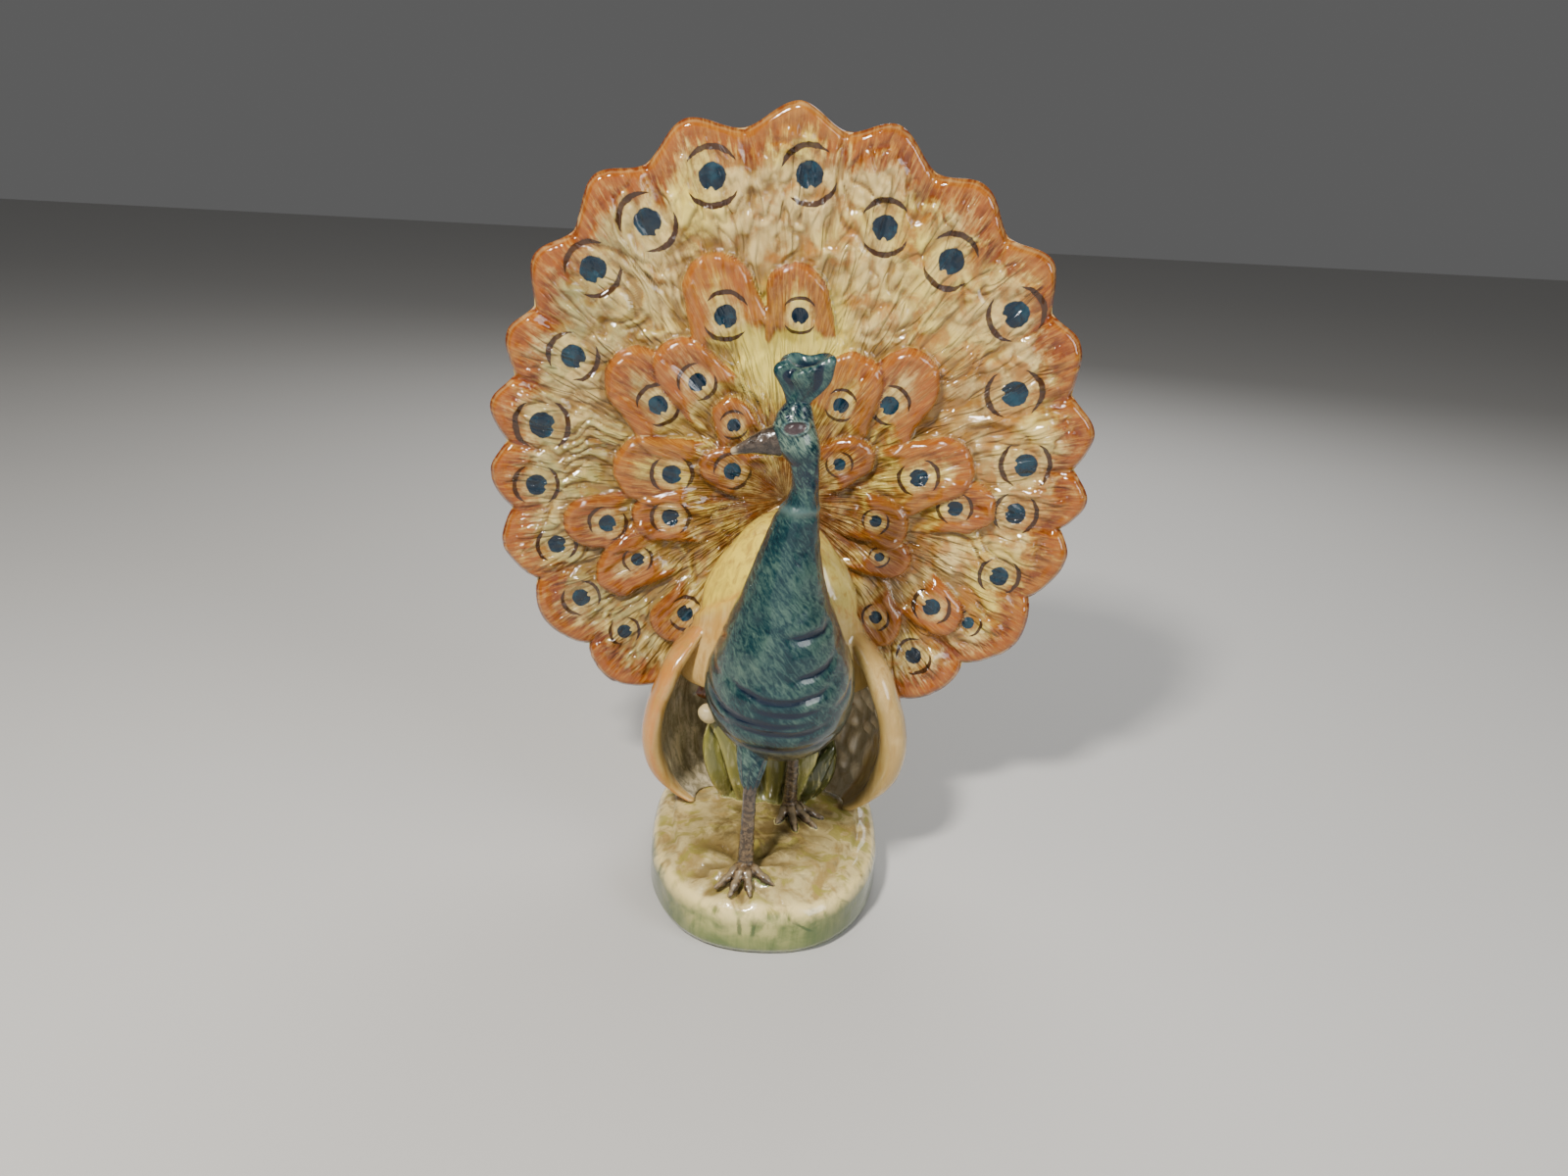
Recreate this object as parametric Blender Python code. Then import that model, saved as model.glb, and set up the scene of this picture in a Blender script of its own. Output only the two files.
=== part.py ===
"""Glazed ceramic figurine of a displaying peacock, cast in one piece with its mound.

The bird stands on an oval mound and faces -Y, with its head turned to -X.
Behind it the train is fanned in a shallow dish of overlapping feathers.
Units are metres, +Z is up, and the origin is the middle of the mound's underside.
"""

import math

import bmesh
import bpy
import numpy as np

# The mound
BASE_WIDTH = 0.088
BASE_DEPTH = 0.126
BASE_HEIGHT = 0.027
BASE_ROUNDING = 0.006
BASE_SQUARENESS = 2.35
BASE_RIM_DROP = 0.0065
BASE_SIDES = 40

# The bird, from the top of the mound to the tip of the tallest feather
BIRD_HEIGHT = 0.2535
HEIGHT_IN_PARTS = 253.5
PART = BIRD_HEIGHT / HEIGHT_IN_PARTS
# Heights of the bird below are parts above the mound's top; widths and depths are parts too.

# How far each leg, tuft and wing tip is sunk in the mound
ROOT = 0.003

# The fanned train
FAN_THICKNESS = 0.0065
FAN_RIM_THICKNESS = 0.0042
FAN_CUP = 0.010
HUB_SIDE = 2.0
HUB_HEIGHT = 111.0
HUB_DEPTH = 34.0
FEATHER_LONGEST = 142.5
FEATHER_SIDE = 109.0
FEATHER_HIDDEN = 83.0
FEATHER_GROWTH = 3.4
SHORTENING_FROM_DEG = 95.0
SCALLOP_DEPTH = 7.0
FEATHER_CROWN = 0.0022
# Directions of the rim's feathers in degrees from straight up, towards +X
RIM_FEATHERS = (
    -139, -119, -101, -86, -73, -60, -47, -32, -17, -1,
    13, 28, 43, 57, 73, 86, 98, 119, 141, 161, 181, 201,
)
SAMPLES_PER_FEATHER = 6

# The raised inner feathers: direction in degrees, distance of the eye from the hub, tip beyond the eye
INNER_FEATHERS = (
    (-20, 73, 23), (1, 71, 19), (-54, 61, 24), (-38, 57, 19), (-78, 45, 23),
    (-36, 36, 11), (-62, 24, 13), (-99, 69, 17), (-100, 45, 15), (-114, 62, 18),
    (-141, 60, 15), (25, 43, 21), (42, 54, 23), (50, 25, 14), (75, 51, 22),
    (88, 64, 16), (99, 35, 14), (118, 42, 13), (140, 58, 11), (123, 70, 12),
)
PETAL_THICKNESS = 0.0090
PETAL_FULLNESS = 0.6
PETAL_SINK = 0.0027
PETAL_SIDES = 14
PETAL_LEVELS_DEG = (-22.0, 26.0, 62.0)
# A petal's half-length and half-width grow with the length of its tip: share of it, and what is added
PETAL_LENGTH = (1.05, 3.0)
PETAL_WIDTH = (0.5, 3.4)

# Sides of the level rings of the breast, the head, the cape and the rump
NECK_SIDES = 20
HEAD_SIDES = 16
CAPE_SIDES = 24
RUMP_SIDES = 18
# Middle of the cape, the rump and the two wings, to the side of the mound's middle
SPINE_X = 1.3

# The drooping wings
WING_THICKNESS = 0.0062
WING_LIP = 0.0085
WING_ARC_DEG = 112.0
WING_STEPS = 6

# Legs and feet
SHANK_RADIUS = 0.0026
TOE_RADIUS = 0.0020
LEG_SIDES = 8

GLAZES = {
    "cream_glaze": (0.78, 0.62, 0.40),
    "orange_glaze": (0.66, 0.32, 0.13),
    "teal_glaze": (0.05, 0.19, 0.23),
    "grey_glaze": (0.16, 0.12, 0.12),
    "green_glaze": (0.34, 0.42, 0.26),
}


def clear_scene():
    """Empties the scene that Blender starts with."""
    for old in list(bpy.data.objects):
        bpy.data.objects.remove(old)


def glaze(name):
    """A glossy fired glaze of that colour."""
    found = bpy.data.materials.get(name)
    if found:
        return found
    made = bpy.data.materials.new(name)
    made.use_nodes = True
    shader = made.node_tree.nodes["Principled BSDF"]
    shader.inputs["Base Color"].default_value = (*GLAZES[name], 1.0)
    shader.inputs["Roughness"].default_value = 0.12
    shader.inputs["Metallic"].default_value = 0.0
    return made


def spot(x, y, z):
    """A point of the bird, given in parts, with z above the mound's top."""
    return np.array((x * PART, y * PART, BASE_HEIGHT + z * PART))


def spots(rows):
    """Several points of the bird as an array."""
    return np.array([spot(*row) for row in rows])


def closed_loft(name, start, rings, end, colour):
    """A closed skin from a start pole, through rings of points, to an end pole."""
    rings = np.asarray(rings, float)
    count, sides, _ = rings.shape
    mesh = bmesh.new()
    poles = [mesh.verts.new(start), mesh.verts.new(end)]
    grid = [[mesh.verts.new(point) for point in ring] for ring in rings]
    for side in range(sides):
        after = (side + 1) % sides
        mesh.faces.new((poles[0], grid[0][side], grid[0][after]))
        mesh.faces.new((poles[1], grid[-1][after], grid[-1][side]))
        for ring in range(count - 1):
            mesh.faces.new(
                (grid[ring][side], grid[ring + 1][side], grid[ring + 1][after], grid[ring][after])
            )
    return finished(name, mesh, colour)


def finished(name, mesh, colour):
    """The object of a closed skin, with its faces outward and its glaze on."""
    bmesh.ops.recalc_face_normals(mesh, faces=mesh.faces)
    data = bpy.data.meshes.new(name)
    mesh.to_mesh(data)
    mesh.free()
    data.materials.append(glaze(colour))
    data.shade_smooth()
    made = bpy.data.objects.new(name, data)
    bpy.context.scene.collection.objects.link(made)
    return made


def plate(name, outer, inner, colour):
    """A closed curved plate between two grids of points that face each other."""
    mesh = bmesh.new()
    faces = [[[mesh.verts.new(point) for point in row] for row in grid] for grid in (outer, inner)]
    rows, steps = len(outer), len(outer[0])
    for row in range(rows - 1):
        for step in range(steps - 1):
            for grid in faces:
                mesh.faces.new(
                    (grid[row][step], grid[row + 1][step], grid[row + 1][step + 1], grid[row][step + 1])
                )
    edge = [(0, step) for step in range(steps)]
    edge += [(row, steps - 1) for row in range(1, rows)]
    edge += [(rows - 1, step) for step in range(steps - 2, -1, -1)]
    edge += [(row, 0) for row in range(rows - 2, 0, -1)]
    for (r0, s0), (r1, s1) in zip(edge, edge[1:] + edge[:1]):
        mesh.faces.new((faces[0][r0][s0], faces[0][r1][s1], faces[1][r1][s1], faces[1][r0][s0]))
    return finished(name, mesh, colour)


def ellipse_rings(rows, sides):
    """Level rings of the bird from rows of height, centre x, centre y, half-width, half-depth."""
    turn = np.arange(sides) / sides * 2 * math.pi
    rings = []
    for height, middle_x, middle_y, half_x, half_y in rows:
        ring = spots(
            (middle_x + half_x * math.sin(t), middle_y - half_y * math.cos(t), height)
            for t in turn
        )
        rings.append(ring)
    return rings


def tube(name, path, radii, sides, colour, flatness=1.0):
    """A round-ended limb along a path of points; flatness squashes its section in height."""
    path = np.asarray(path, float)
    ahead = np.gradient(path, axis=0)
    ahead /= np.linalg.norm(ahead, axis=1)[:, None]
    guide = np.array((0.0, 0.0, 1.0)) if abs(ahead[:, 2]).mean() < 0.7 else np.array((0.0, 1.0, 0.0))
    across = np.cross(ahead, guide)
    across /= np.linalg.norm(across, axis=1)[:, None]
    above = np.cross(across, ahead)
    turn = np.arange(sides) / sides * 2 * math.pi
    rings = [
        middle + radius * (np.outer(np.cos(turn), side) + flatness * np.outer(np.sin(turn), top))
        for middle, radius, side, top in zip(path, radii, across, above)
    ]
    start = path[0] - ahead[0] * radii[0] * 0.6
    end = path[-1] + ahead[-1] * radii[-1] * 0.6
    return closed_loft(name, start, rings, end, colour)


def mound_point(share, turn, height):
    """A point of the mound's plan: a squared oval, share 1 at its widest."""
    power = 2.0 / BASE_SQUARENESS
    c, s = math.cos(turn), math.sin(turn)
    x = math.copysign(abs(s) ** power, s) * BASE_WIDTH / 2 * share
    y = -math.copysign(abs(c) ** power, c) * BASE_DEPTH / 2 * share
    return (x, y, height)


def mound_top(share):
    """Height of the mound's top at a share of the way out from its middle."""
    return BASE_HEIGHT - BASE_RIM_DROP * share**2.2


def make_mound():
    """The oval mound: a flat underside, an upright side, a rounded rim and a low dome."""
    rim = BASE_HEIGHT - BASE_RIM_DROP
    inset = BASE_ROUNDING / (BASE_WIDTH / 2)
    levels = [(1 - inset * 0.35, 0.0), (1.0, BASE_ROUNDING * 0.35), (1.0, rim - BASE_ROUNDING)]
    levels += [
        (1 - inset * (1 - math.cos(a)), rim - BASE_ROUNDING * (1 - math.sin(a)))
        for a in np.radians((30, 60, 85))
    ]
    levels += [(share, mound_top(share)) for share in (0.72, 0.52, 0.3)]
    turn = np.arange(BASE_SIDES) / BASE_SIDES * 2 * math.pi
    rings = [[mound_point(share, t, height) for t in turn] for share, height in levels]
    return closed_loft("mound", (0, 0, 0), rings, (0, 0, BASE_HEIGHT), "green_glaze")


def hub_spot(across, above):
    """A point of the bird in parts from the hub, which all the train's feathers point away from."""
    return spot(HUB_SIDE + across, 0, HUB_HEIGHT + above)


def feather_reach(angle):
    """Length in parts of a rim feather that points at angle radians from straight up."""
    rise = ((1 + math.cos(angle)) / 2) ** FEATHER_GROWTH
    reach = FEATHER_SIDE + (FEATHER_LONGEST - FEATHER_SIDE) * rise
    turned = math.degrees(abs((angle + math.pi) % (2 * math.pi) - math.pi))
    hidden = max(turned - SHORTENING_FROM_DEG, 0) / (180 - SHORTENING_FROM_DEG)
    return reach - (FEATHER_SIDE - FEATHER_HIDDEN) * hidden**2


def rim_samples():
    """Angles round the fan with, at each, how far it is from its feather's middle, 0 to 1."""
    middles = list(RIM_FEATHERS)
    bounds = [
        (a + b) / 2 for a, b in zip(middles, middles[1:] + [middles[0] + 360])
    ]
    samples = []
    for before, middle, after in zip([bounds[-1] - 360] + bounds[:-1], middles, bounds):
        for step in range(SAMPLES_PER_FEATHER):
            u = -1 + 2 * step / SAMPLES_PER_FEATHER
            angle = middle + u * (after - middle if u > 0 else middle - before)
            samples.append((math.radians(angle), abs(u)))
    return samples


def fan_front(share):
    """Depth in metres of the fan's front at a share of the way from the hub to the rim."""
    return HUB_DEPTH * PART - FAN_CUP * share**2


def fan_point(share, angle, edge, lift):
    """A point of the fan: share of the way out, and lift towards the viewer in metres."""
    wavy = (1 - math.cos(math.pi * edge)) / 2
    cusped = 1 - math.sqrt(1 - 0.96 * edge**2)
    upward = (1 + math.cos(angle)) / 2
    reach = feather_reach(angle) - SCALLOP_DEPTH * (upward * wavy + (1 - upward) * cusped)
    place = hub_spot(reach * share * math.sin(angle), reach * share * math.cos(angle))
    place[1] = fan_front(share) - lift
    return place


def make_fan():
    """The dish of the train: crowned feathers in front, a rounded rim and a plain back."""
    samples = rim_samples()
    rings = []
    for share in (0.3, 0.52, 0.68, 0.8, 0.89, 0.955):
        crown = FEATHER_CROWN * min(max((share - 0.3) / 0.35, 0), 1)
        rings.append([fan_point(share, a, u, crown * (1 - u**2) - crown * 0.5) for a, u in samples])
    for share, lift in ((0.99, -0.0006), (1.0, -FAN_RIM_THICKNESS / 2), (0.985, -FAN_RIM_THICKNESS)):
        rings.append([fan_point(share, a, u, lift) for a, u in samples])
    for share in (0.75, 0.4):
        back = -FAN_RIM_THICKNESS - (FAN_THICKNESS - FAN_RIM_THICKNESS) * (1 - share)
        rings.append([fan_point(share, a, u, back) for a, u in samples])
    front = fan_point(0, 0, 0, 0)
    back = fan_point(0, 0, 0, -FAN_THICKNESS)
    return closed_loft("fan", front, rings, back, "cream_glaze")


def make_petal(number, degrees, distance, tip):
    """One raised inner feather: a cushion that rises at its tip and sinks towards the hub."""
    angle = math.radians(degrees)
    reach = feather_reach(angle)
    out = np.array((math.sin(angle), 0.0, math.cos(angle)))
    side = np.array((math.cos(angle), 0.0, -math.sin(angle)))
    length = tip * PETAL_LENGTH[0] + PETAL_LENGTH[1]
    width = tip * PETAL_WIDTH[0] + PETAL_WIDTH[1]
    middle = distance + tip - length
    turn = np.arange(PETAL_SIDES) / PETAL_SIDES * 2 * math.pi
    # The section is a quarter round, from the rim of the cushion up to its crown
    rings = []
    for level in np.radians(PETAL_LEVELS_DEG):
        ring = []
        for t in turn:
            spread = math.cos(level) ** PETAL_FULLNESS
            along = length * spread * math.cos(t)
            across = width * spread * math.sin(t) * (1 - 0.12 * math.cos(t))
            place = hub_spot(0, 0) + ((middle + along) * out + across * side) * PART
            lean = PETAL_THICKNESS * 0.42 * (along / length - 1) / 2
            share = (middle + along) / reach
            sink = min(-PETAL_THICKNESS * 0.5 * math.sin(level) - lean, PETAL_SINK)
            place[1] = fan_front(share) + sink
            ring.append(place)
        rings.append(ring)
    share = middle / reach
    under = hub_spot(0, 0) + middle * out * PART
    over = under.copy()
    under[1] = fan_front(share) + PETAL_SINK * 1.2
    over[1] = fan_front(share) - PETAL_THICKNESS * 0.5 + PETAL_THICKNESS * 0.21
    return closed_loft(f"petal_{number}", under, rings, over, "orange_glaze")


def make_body():
    """The breast and neck, a pear that narrows into the neck."""
    rows = (
        (35.5, 4, -14, 10, 19), (39, 4, -14, 18.5, 27.5), (45, 3.5, -14, 24.5, 33),
        (53, 3, -15, 27.2, 35.5), (62, 3, -17, 26.8, 34), (71, 3, -20, 24.3, 30),
        (84, 3, -24, 19.6, 24), (98, 3.2, -28, 14.4, 17.5), (113, 4, -31, 10.2, 11.6),
        (126, 5.9, -33, 7.4, 8.0), (132, 7.4, -34, 5.3, 6.4), (138, 8, -34.5, 4.4, 5.8),
        (147, 7, -35, 5.0, 5.8),
    )
    return closed_loft(
        "body", spot(4, -14, 33), ellipse_rings(rows, NECK_SIDES), spot(6, -35, 152), "teal_glaze"
    )


def make_head():
    """The small head, which slopes from the crown down into the beak."""
    rows = (
        (144, 7.0, -35, 4.6, 5.0), (147.5, 5.8, -35, 6.4, 6.4), (151.5, 4.4, -35, 7.3, 6.9),
        (155.5, 3.3, -35, 7.1, 6.3), (159.5, 3.3, -34.6, 5.8, 5.2), (163, 3.9, -34.2, 4.4, 4.0),
    )
    return closed_loft(
        "head", spot(7.2, -35, 142), ellipse_rings(rows, HEAD_SIDES), spot(4.2, -34, 165), "teal_glaze"
    )


def make_beak():
    """The beak, a tapered hook turned to the bird's right."""
    path = spots((
        (1, -35, 151.2), (-3.5, -35.4, 151.2), (-7.5, -35.8, 151), (-11.5, -36.2, 149.8),
        (-15.6, -36.6, 147.8),
    ))
    radii = np.array((4.2, 4.0, 3.1, 1.9, 0.9)) * PART
    return tube("beak", path, radii, 10, "grey_glaze", flatness=1.25)


def make_crest():
    """The crest, a ruffled tuft that flares upwards from the crown of the head."""
    turn = np.arange(20) / 20 * 2 * math.pi
    rows = (
        (159, 4.1, 3.9, 3.4, 0), (163.5, 4.2, 4.0, 3.2, 0.2), (167, 5.2, 6.1, 3.3, 0.6),
        (170.5, 5.8, 8.3, 3.7, 1.0), (174, 5.4, 9.4, 4.1, 1.2), (177, 6.2, 7.6, 3.6, 1.0),
    )
    rings = [
        spots(
            (
                middle + half_x * math.sin(t),
                -34 - (half_y + ruffle * math.cos(5 * t)) * math.cos(t),
                height,
            )
            for t in turn
        )
        for height, middle, half_x, half_y, ruffle in rows
    ]
    return closed_loft("crest", spot(4.5, -34, 157), rings, spot(7, -34, 179), "teal_glaze")


def make_mantle():
    """The back and shoulders, a bell-shaped cape between the neck and the fan."""
    rows = (
        (47, 38, -9), (53, 39, -11), (61, 36.5, -11), (71, 32, -9),
        (83, 29.5, -5), (93, 24.5, -1), (101, 17.5, 3), (106.5, 10.5, 8),
    )
    rear = HUB_DEPTH - 3
    rings = ellipse_rings(
        [(height, SPINE_X, (rear + front) / 2, half, (rear - front) / 2) for height, half, front in rows],
        CAPE_SIDES,
    )
    return closed_loft("mantle", spot(SPINE_X, 12, 46), rings, spot(1, 18, 109.5), "cream_glaze")


def make_rump():
    """The plain rump behind the fan, a bulge that carries the train from the back."""
    rows = (
        (36, 15, 20, 40), (44, 24, 16, 46), (56, 28.5, 16, 51), (70, 27, 18, 52),
        (84, 21.5, 22, 50), (97, 14, 28, 46), (106, 7, 33, 42),
    )
    levels = [
        (height, SPINE_X, (rear + front) / 2, half, (rear - front) / 2)
        for height, half, front, rear in rows
    ]
    rings = ellipse_rings(levels, RUMP_SIDES)
    return closed_loft("rump", spot(SPINE_X, 30, 33), rings, spot(SPINE_X, 37, 109), "cream_glaze")


def make_wing(name, side):
    """A drooping wing: a plate curved like a C in plan, open to the front, down to its tip."""
    rows = (
        (71, 27, 2, 31, 15), (64, 33, -4.5, 31, 17), (57, 38, -9.5, 31, 18), (50, 41, -12.5, 32, 18),
        (40, 44.6, -13.5, 32, 18), (30, 46, -14, 30, 19), (20, 45.2, -12.5, 27, 20),
        (10, 42, -9.5, 23, 21), (3, 37, -6.5, 17, 21), (-1.5, 31, -5, 9, 22),
    )
    arc = math.radians(WING_ARC_DEG)
    grids = {1: [], -1: []}
    for height, outer, front, rear, inner in rows:
        taper = min(1.0, 0.45 + (height + 2) / 30, (80 - height) / 20)
        for face, grid in grids.items():
            line = []
            for step in range(WING_STEPS + 1):
                t = step / WING_STEPS
                turn = arc * t
                thick = (WING_THICKNESS + (WING_LIP - WING_THICKNESS) * t**3) / PART * taper / 2
                thick *= math.sqrt(max(1 - max(t - 0.8, 0) ** 2 * 20, 0.1))
                deep = (rear - front) / (1 - math.cos(arc))
                nx, ny = deep * math.sin(turn), (outer - inner) * math.cos(turn)
                size = math.hypot(nx, ny)
                x = inner + (outer - inner) * math.sin(turn) + face * thick * nx / size
                y = rear - deep * (1 - math.cos(turn)) + face * thick * ny / size
                line.append(spot(SPINE_X + side * x, y, height))
            grid.append(line)
    return plate(name, grids[1], grids[-1], "cream_glaze")


def make_leg(name, hip, knee, ankle):
    """A leg: a feathered thigh that tapers into a thin shank, rooted in the mound."""
    hip, knee, ankle = (spot(*point) for point in (hip, knee, ankle))
    foot = ankle.copy()
    foot[2] = mound_top(abs(ankle[1]) / (BASE_DEPTH / 2)) - ROOT / 2
    path = [hip, hip * 0.45 + knee * 0.55, knee, knee * 0.5 + foot * 0.5, foot]
    radii = (8.5 * PART, 6.2 * PART, SHANK_RADIUS * 1.25, SHANK_RADIUS, SHANK_RADIUS * 1.3)
    return tube(name, path, radii, LEG_SIDES, "grey_glaze")


def make_toes(name, x, y, spread):
    """The toes of one foot, splayed over the mound from the ankle at x, y."""
    made = []
    for number, (degrees, length) in enumerate(spread):
        turn = math.radians(degrees)
        path = []
        for along in (0.0, 0.45, 1.0):
            px = (x + length * along * math.sin(turn)) * PART
            py = (y - length * along * math.cos(turn)) * PART
            reach = max(abs(py) / (BASE_DEPTH / 2), abs(px) / (BASE_WIDTH / 2))
            path.append((px, py, mound_top(min(reach, 1)) + TOE_RADIUS * (0.5 - 0.4 * along)))
        radii = (TOE_RADIUS * 1.3, TOE_RADIUS, TOE_RADIUS * 0.6)
        made.append(tube(f"{name}_toe_{number}", path, radii, 6, "grey_glaze"))
    return made


def make_tuft():
    """The tuft of plants behind the legs, a ribbed stem that carries the belly."""
    turn = np.arange(18) / 18 * 2 * math.pi
    rows = ((-2.5, 21, 19), (6, 17, 16), (18, 15, 15), (32, 16, 17), (46, 18, 18))
    rings = [
        spots(
            (
                (half_x + 1.6 * math.cos(6 * t)) * math.sin(t),
                13 - (half_y + 1.6 * math.cos(6 * t)) * math.cos(t),
                height,
            )
            for t in turn
        )
        for height, half_x, half_y in rows
    ]
    return closed_loft("tuft", spot(0, 13, -3), rings, spot(0, 13, 49), "green_glaze")


def make_leaves():
    """Single leaves that lean out of the tuft towards the wings."""
    routes = (
        ((-9, 0, -2), (-12, -4, 16), (-17, -3, 30), (-24, 1, 37)),
        ((-16, 4, -2), (-20, 0, 12), (-22, 2, 26), (-20, 6, 38)),
        ((2, -3, -2), (3, -5, 12), (2, -3, 26), (1, 0, 38)),
        ((14, 2, -2), (19, -4, 10), (23, -3, 22), (26, 1, 30)),
        ((17, 6, -2), (22, 2, 14), (21, 4, 28), (17, 6, 40)),
    )
    radii = np.array((3.6, 4.6, 4.0, 1.8)) * PART
    return [
        tube(f"leaf_{number}", spots(route), radii, 8, "green_glaze", flatness=0.6)
        for number, route in enumerate(routes)
    ]


def fuse(name, pieces):
    """One body: the first piece with all the others joined to it, which stay as hidden guides."""
    body = pieces[0]
    body.name = name
    for piece in pieces[1:]:
        join = body.modifiers.new(piece.name, "BOOLEAN")
        join.operation = "UNION"
        join.solver = "EXACT"
        join.material_mode = "TRANSFER"
        join.object = piece
        piece.hide_render = True
        piece.display_type = "WIRE"
    return body


def main():
    clear_scene()
    pieces = [make_body(), make_mantle(), make_rump()]
    pieces += [make_wing("wing_right", -1), make_wing("wing_left", 1)]
    pieces += [make_head(), make_beak(), make_crest()]
    pieces += [make_mound(), make_tuft(), *make_leaves()]
    pieces.append(make_leg("leg_right", (-5, -36, 46), (-5.5, -43.5, 31), (-6, -46.5, 0)))
    pieces.append(make_leg("leg_left", (9, -14, 44), (9.5, -12, 26), (9, -9, 0)))
    pieces += make_toes("right", -6, -46.5, ((-52, 13), (-22, 13), (12, 12), (62, 12)))
    pieces += make_toes("left", 9, -9, ((-25, 11), (12, 14), (48, 15), (80, 14)))
    pieces.append(make_fan())
    pieces += [make_petal(number, *row) for number, row in enumerate(INNER_FEATHERS)]
    fuse("peacock_figurine", pieces)


main()
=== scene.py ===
# %% [markdown]
# A glazed peacock figurine, in numpy surfaces
# The object is a hand-painted earthenware peacock, about 28 cm tall, slip-cast in one piece with
# the oval mound that it stands on. Its train is fanned behind it in a shallow dish of overlapping
# feathers. The construction model gives its place and size. This script models the visible skin
# again, much finer, as closed numpy surfaces, joins them into two skins, and paints those with
# procedural glazes.

# %% Load the frame and read the driving sizes from it
import math

import bmesh
import bpy
import numpy as np
from mathutils import Matrix, Vector


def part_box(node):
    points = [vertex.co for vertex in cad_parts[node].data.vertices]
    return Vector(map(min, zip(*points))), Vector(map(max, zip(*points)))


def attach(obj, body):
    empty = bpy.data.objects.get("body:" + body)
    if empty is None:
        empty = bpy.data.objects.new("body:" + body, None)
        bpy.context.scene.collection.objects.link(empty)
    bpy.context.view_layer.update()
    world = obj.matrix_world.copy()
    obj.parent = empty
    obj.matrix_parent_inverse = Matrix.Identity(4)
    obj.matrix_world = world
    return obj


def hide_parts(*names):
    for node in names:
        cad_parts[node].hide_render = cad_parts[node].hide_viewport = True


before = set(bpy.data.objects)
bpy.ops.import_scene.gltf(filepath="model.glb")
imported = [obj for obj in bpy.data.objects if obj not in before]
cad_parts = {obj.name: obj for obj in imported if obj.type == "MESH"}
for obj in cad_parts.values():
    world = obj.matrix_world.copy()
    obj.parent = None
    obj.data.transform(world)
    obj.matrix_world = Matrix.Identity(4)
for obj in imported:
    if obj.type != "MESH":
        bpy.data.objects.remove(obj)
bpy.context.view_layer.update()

LOW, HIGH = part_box("peacock_figurine")
HEIGHT_IN_MM = 280.5
MM = (HIGH[2] - LOW[2]) / HEIGHT_IN_MM
print("height", round(HIGH[2] - LOW[2], 4), "m, so one unit of the sizes below is", round(MM * 1000, 4), "mm")

# %% [markdown]
# The stage
# A pale floor, a soft grey world and four soft lamps. The lamp at the upper left is small and
# bright, because a wet-looking glaze shows the shape of its lamps in its highlights. The camera
# looks slightly down, and leans a little, as the photograph does.

# %% Camera, floor and lamps
CAMERA_PLACE = (0.0027, -0.402, 0.269)
CAMERA_PITCH_DEG = 21.0
CAMERA_ROLL_DEG = 3.0
CAMERA_LENS_MM = 27.0
# The lamps: name, place and width in metres, watts, and tint
LAMPS = (
    ("key", (-0.30, -0.52, 0.78), 0.11, 12.5, (1.0, 0.96, 0.90)),
    ("fill", (0.75, -0.55, 0.50), 0.45, 5.5, (0.96, 0.98, 1.0)),
    ("low", (-0.12, -0.90, 0.06), 1.0, 2.4, (1, 1, 1)),
    ("back", (0.2, 0.7, 0.7), 0.6, 4.5, (1, 1, 1)),
)
LAMP_AIM = Vector((0, 0.01, 0.14))
WORLD_GREY = (0.80, 0.80, 0.80, 1)
WORLD_STRENGTH = 0.14
FLOOR_HALF_SIDE = 3.0
FLOOR_COLOUR = (0.55, 0.54, 0.52, 1)


def make_camera():
    """A camera that looks along +Y, pitched down and rolled, without shift or blur."""
    lens = bpy.data.cameras.new("camera")
    lens.sensor_width = 36
    lens.lens = CAMERA_LENS_MM
    lens.clip_start = 0.01
    camera = bpy.data.objects.new("camera", lens)
    bpy.context.scene.collection.objects.link(camera)
    pitch = Matrix.Rotation(math.pi / 2 - math.radians(CAMERA_PITCH_DEG), 4, "X")
    roll = Matrix.Rotation(math.radians(CAMERA_ROLL_DEG), 4, "Z")
    camera.rotation_euler = (pitch @ roll).to_euler()
    camera.location = CAMERA_PLACE
    bpy.context.scene.camera = camera


def make_lamp(name, place, width, power, tint):
    """A square soft lamp that faces the figurine's middle."""
    light = bpy.data.lights.new(name, "AREA")
    light.size = width
    light.energy = power
    light.color = tint
    lamp = bpy.data.objects.new(name, light)
    bpy.context.scene.collection.objects.link(lamp)
    lamp.location = place
    aim = LAMP_AIM - Vector(place)
    lamp.rotation_euler = aim.to_track_quat("-Z", "Y").to_euler()


def make_floor():
    """A large plain pale floor at the height of the mound's underside."""
    mesh = bpy.data.meshes.new("floor")
    corners = [(x * FLOOR_HALF_SIDE, y * FLOOR_HALF_SIDE, 0) for x, y in ((-1, -1), (1, -1), (1, 1), (-1, 1))]
    mesh.from_pydata(corners, [], [(0, 1, 2, 3)])
    paint = bpy.data.materials.new("floor")
    paint.use_nodes = True
    shader = paint.node_tree.nodes["Principled BSDF"]
    shader.inputs["Base Color"].default_value = FLOOR_COLOUR
    shader.inputs["Roughness"].default_value = 0.6
    mesh.materials.append(paint)
    floor = bpy.data.objects.new("floor", mesh)
    bpy.context.scene.collection.objects.link(floor)


make_camera()
make_floor()
for lamp_row in LAMPS:
    make_lamp(*lamp_row)
world = bpy.data.worlds.new("studio")
bpy.context.scene.world = world
world.use_nodes = True
world.node_tree.nodes["Background"].inputs["Color"].default_value = WORLD_GREY
world.node_tree.nodes["Background"].inputs["Strength"].default_value = WORLD_STRENGTH
print("camera at", CAMERA_PLACE, "pitched", CAMERA_PITCH_DEG, "degrees down")

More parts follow.
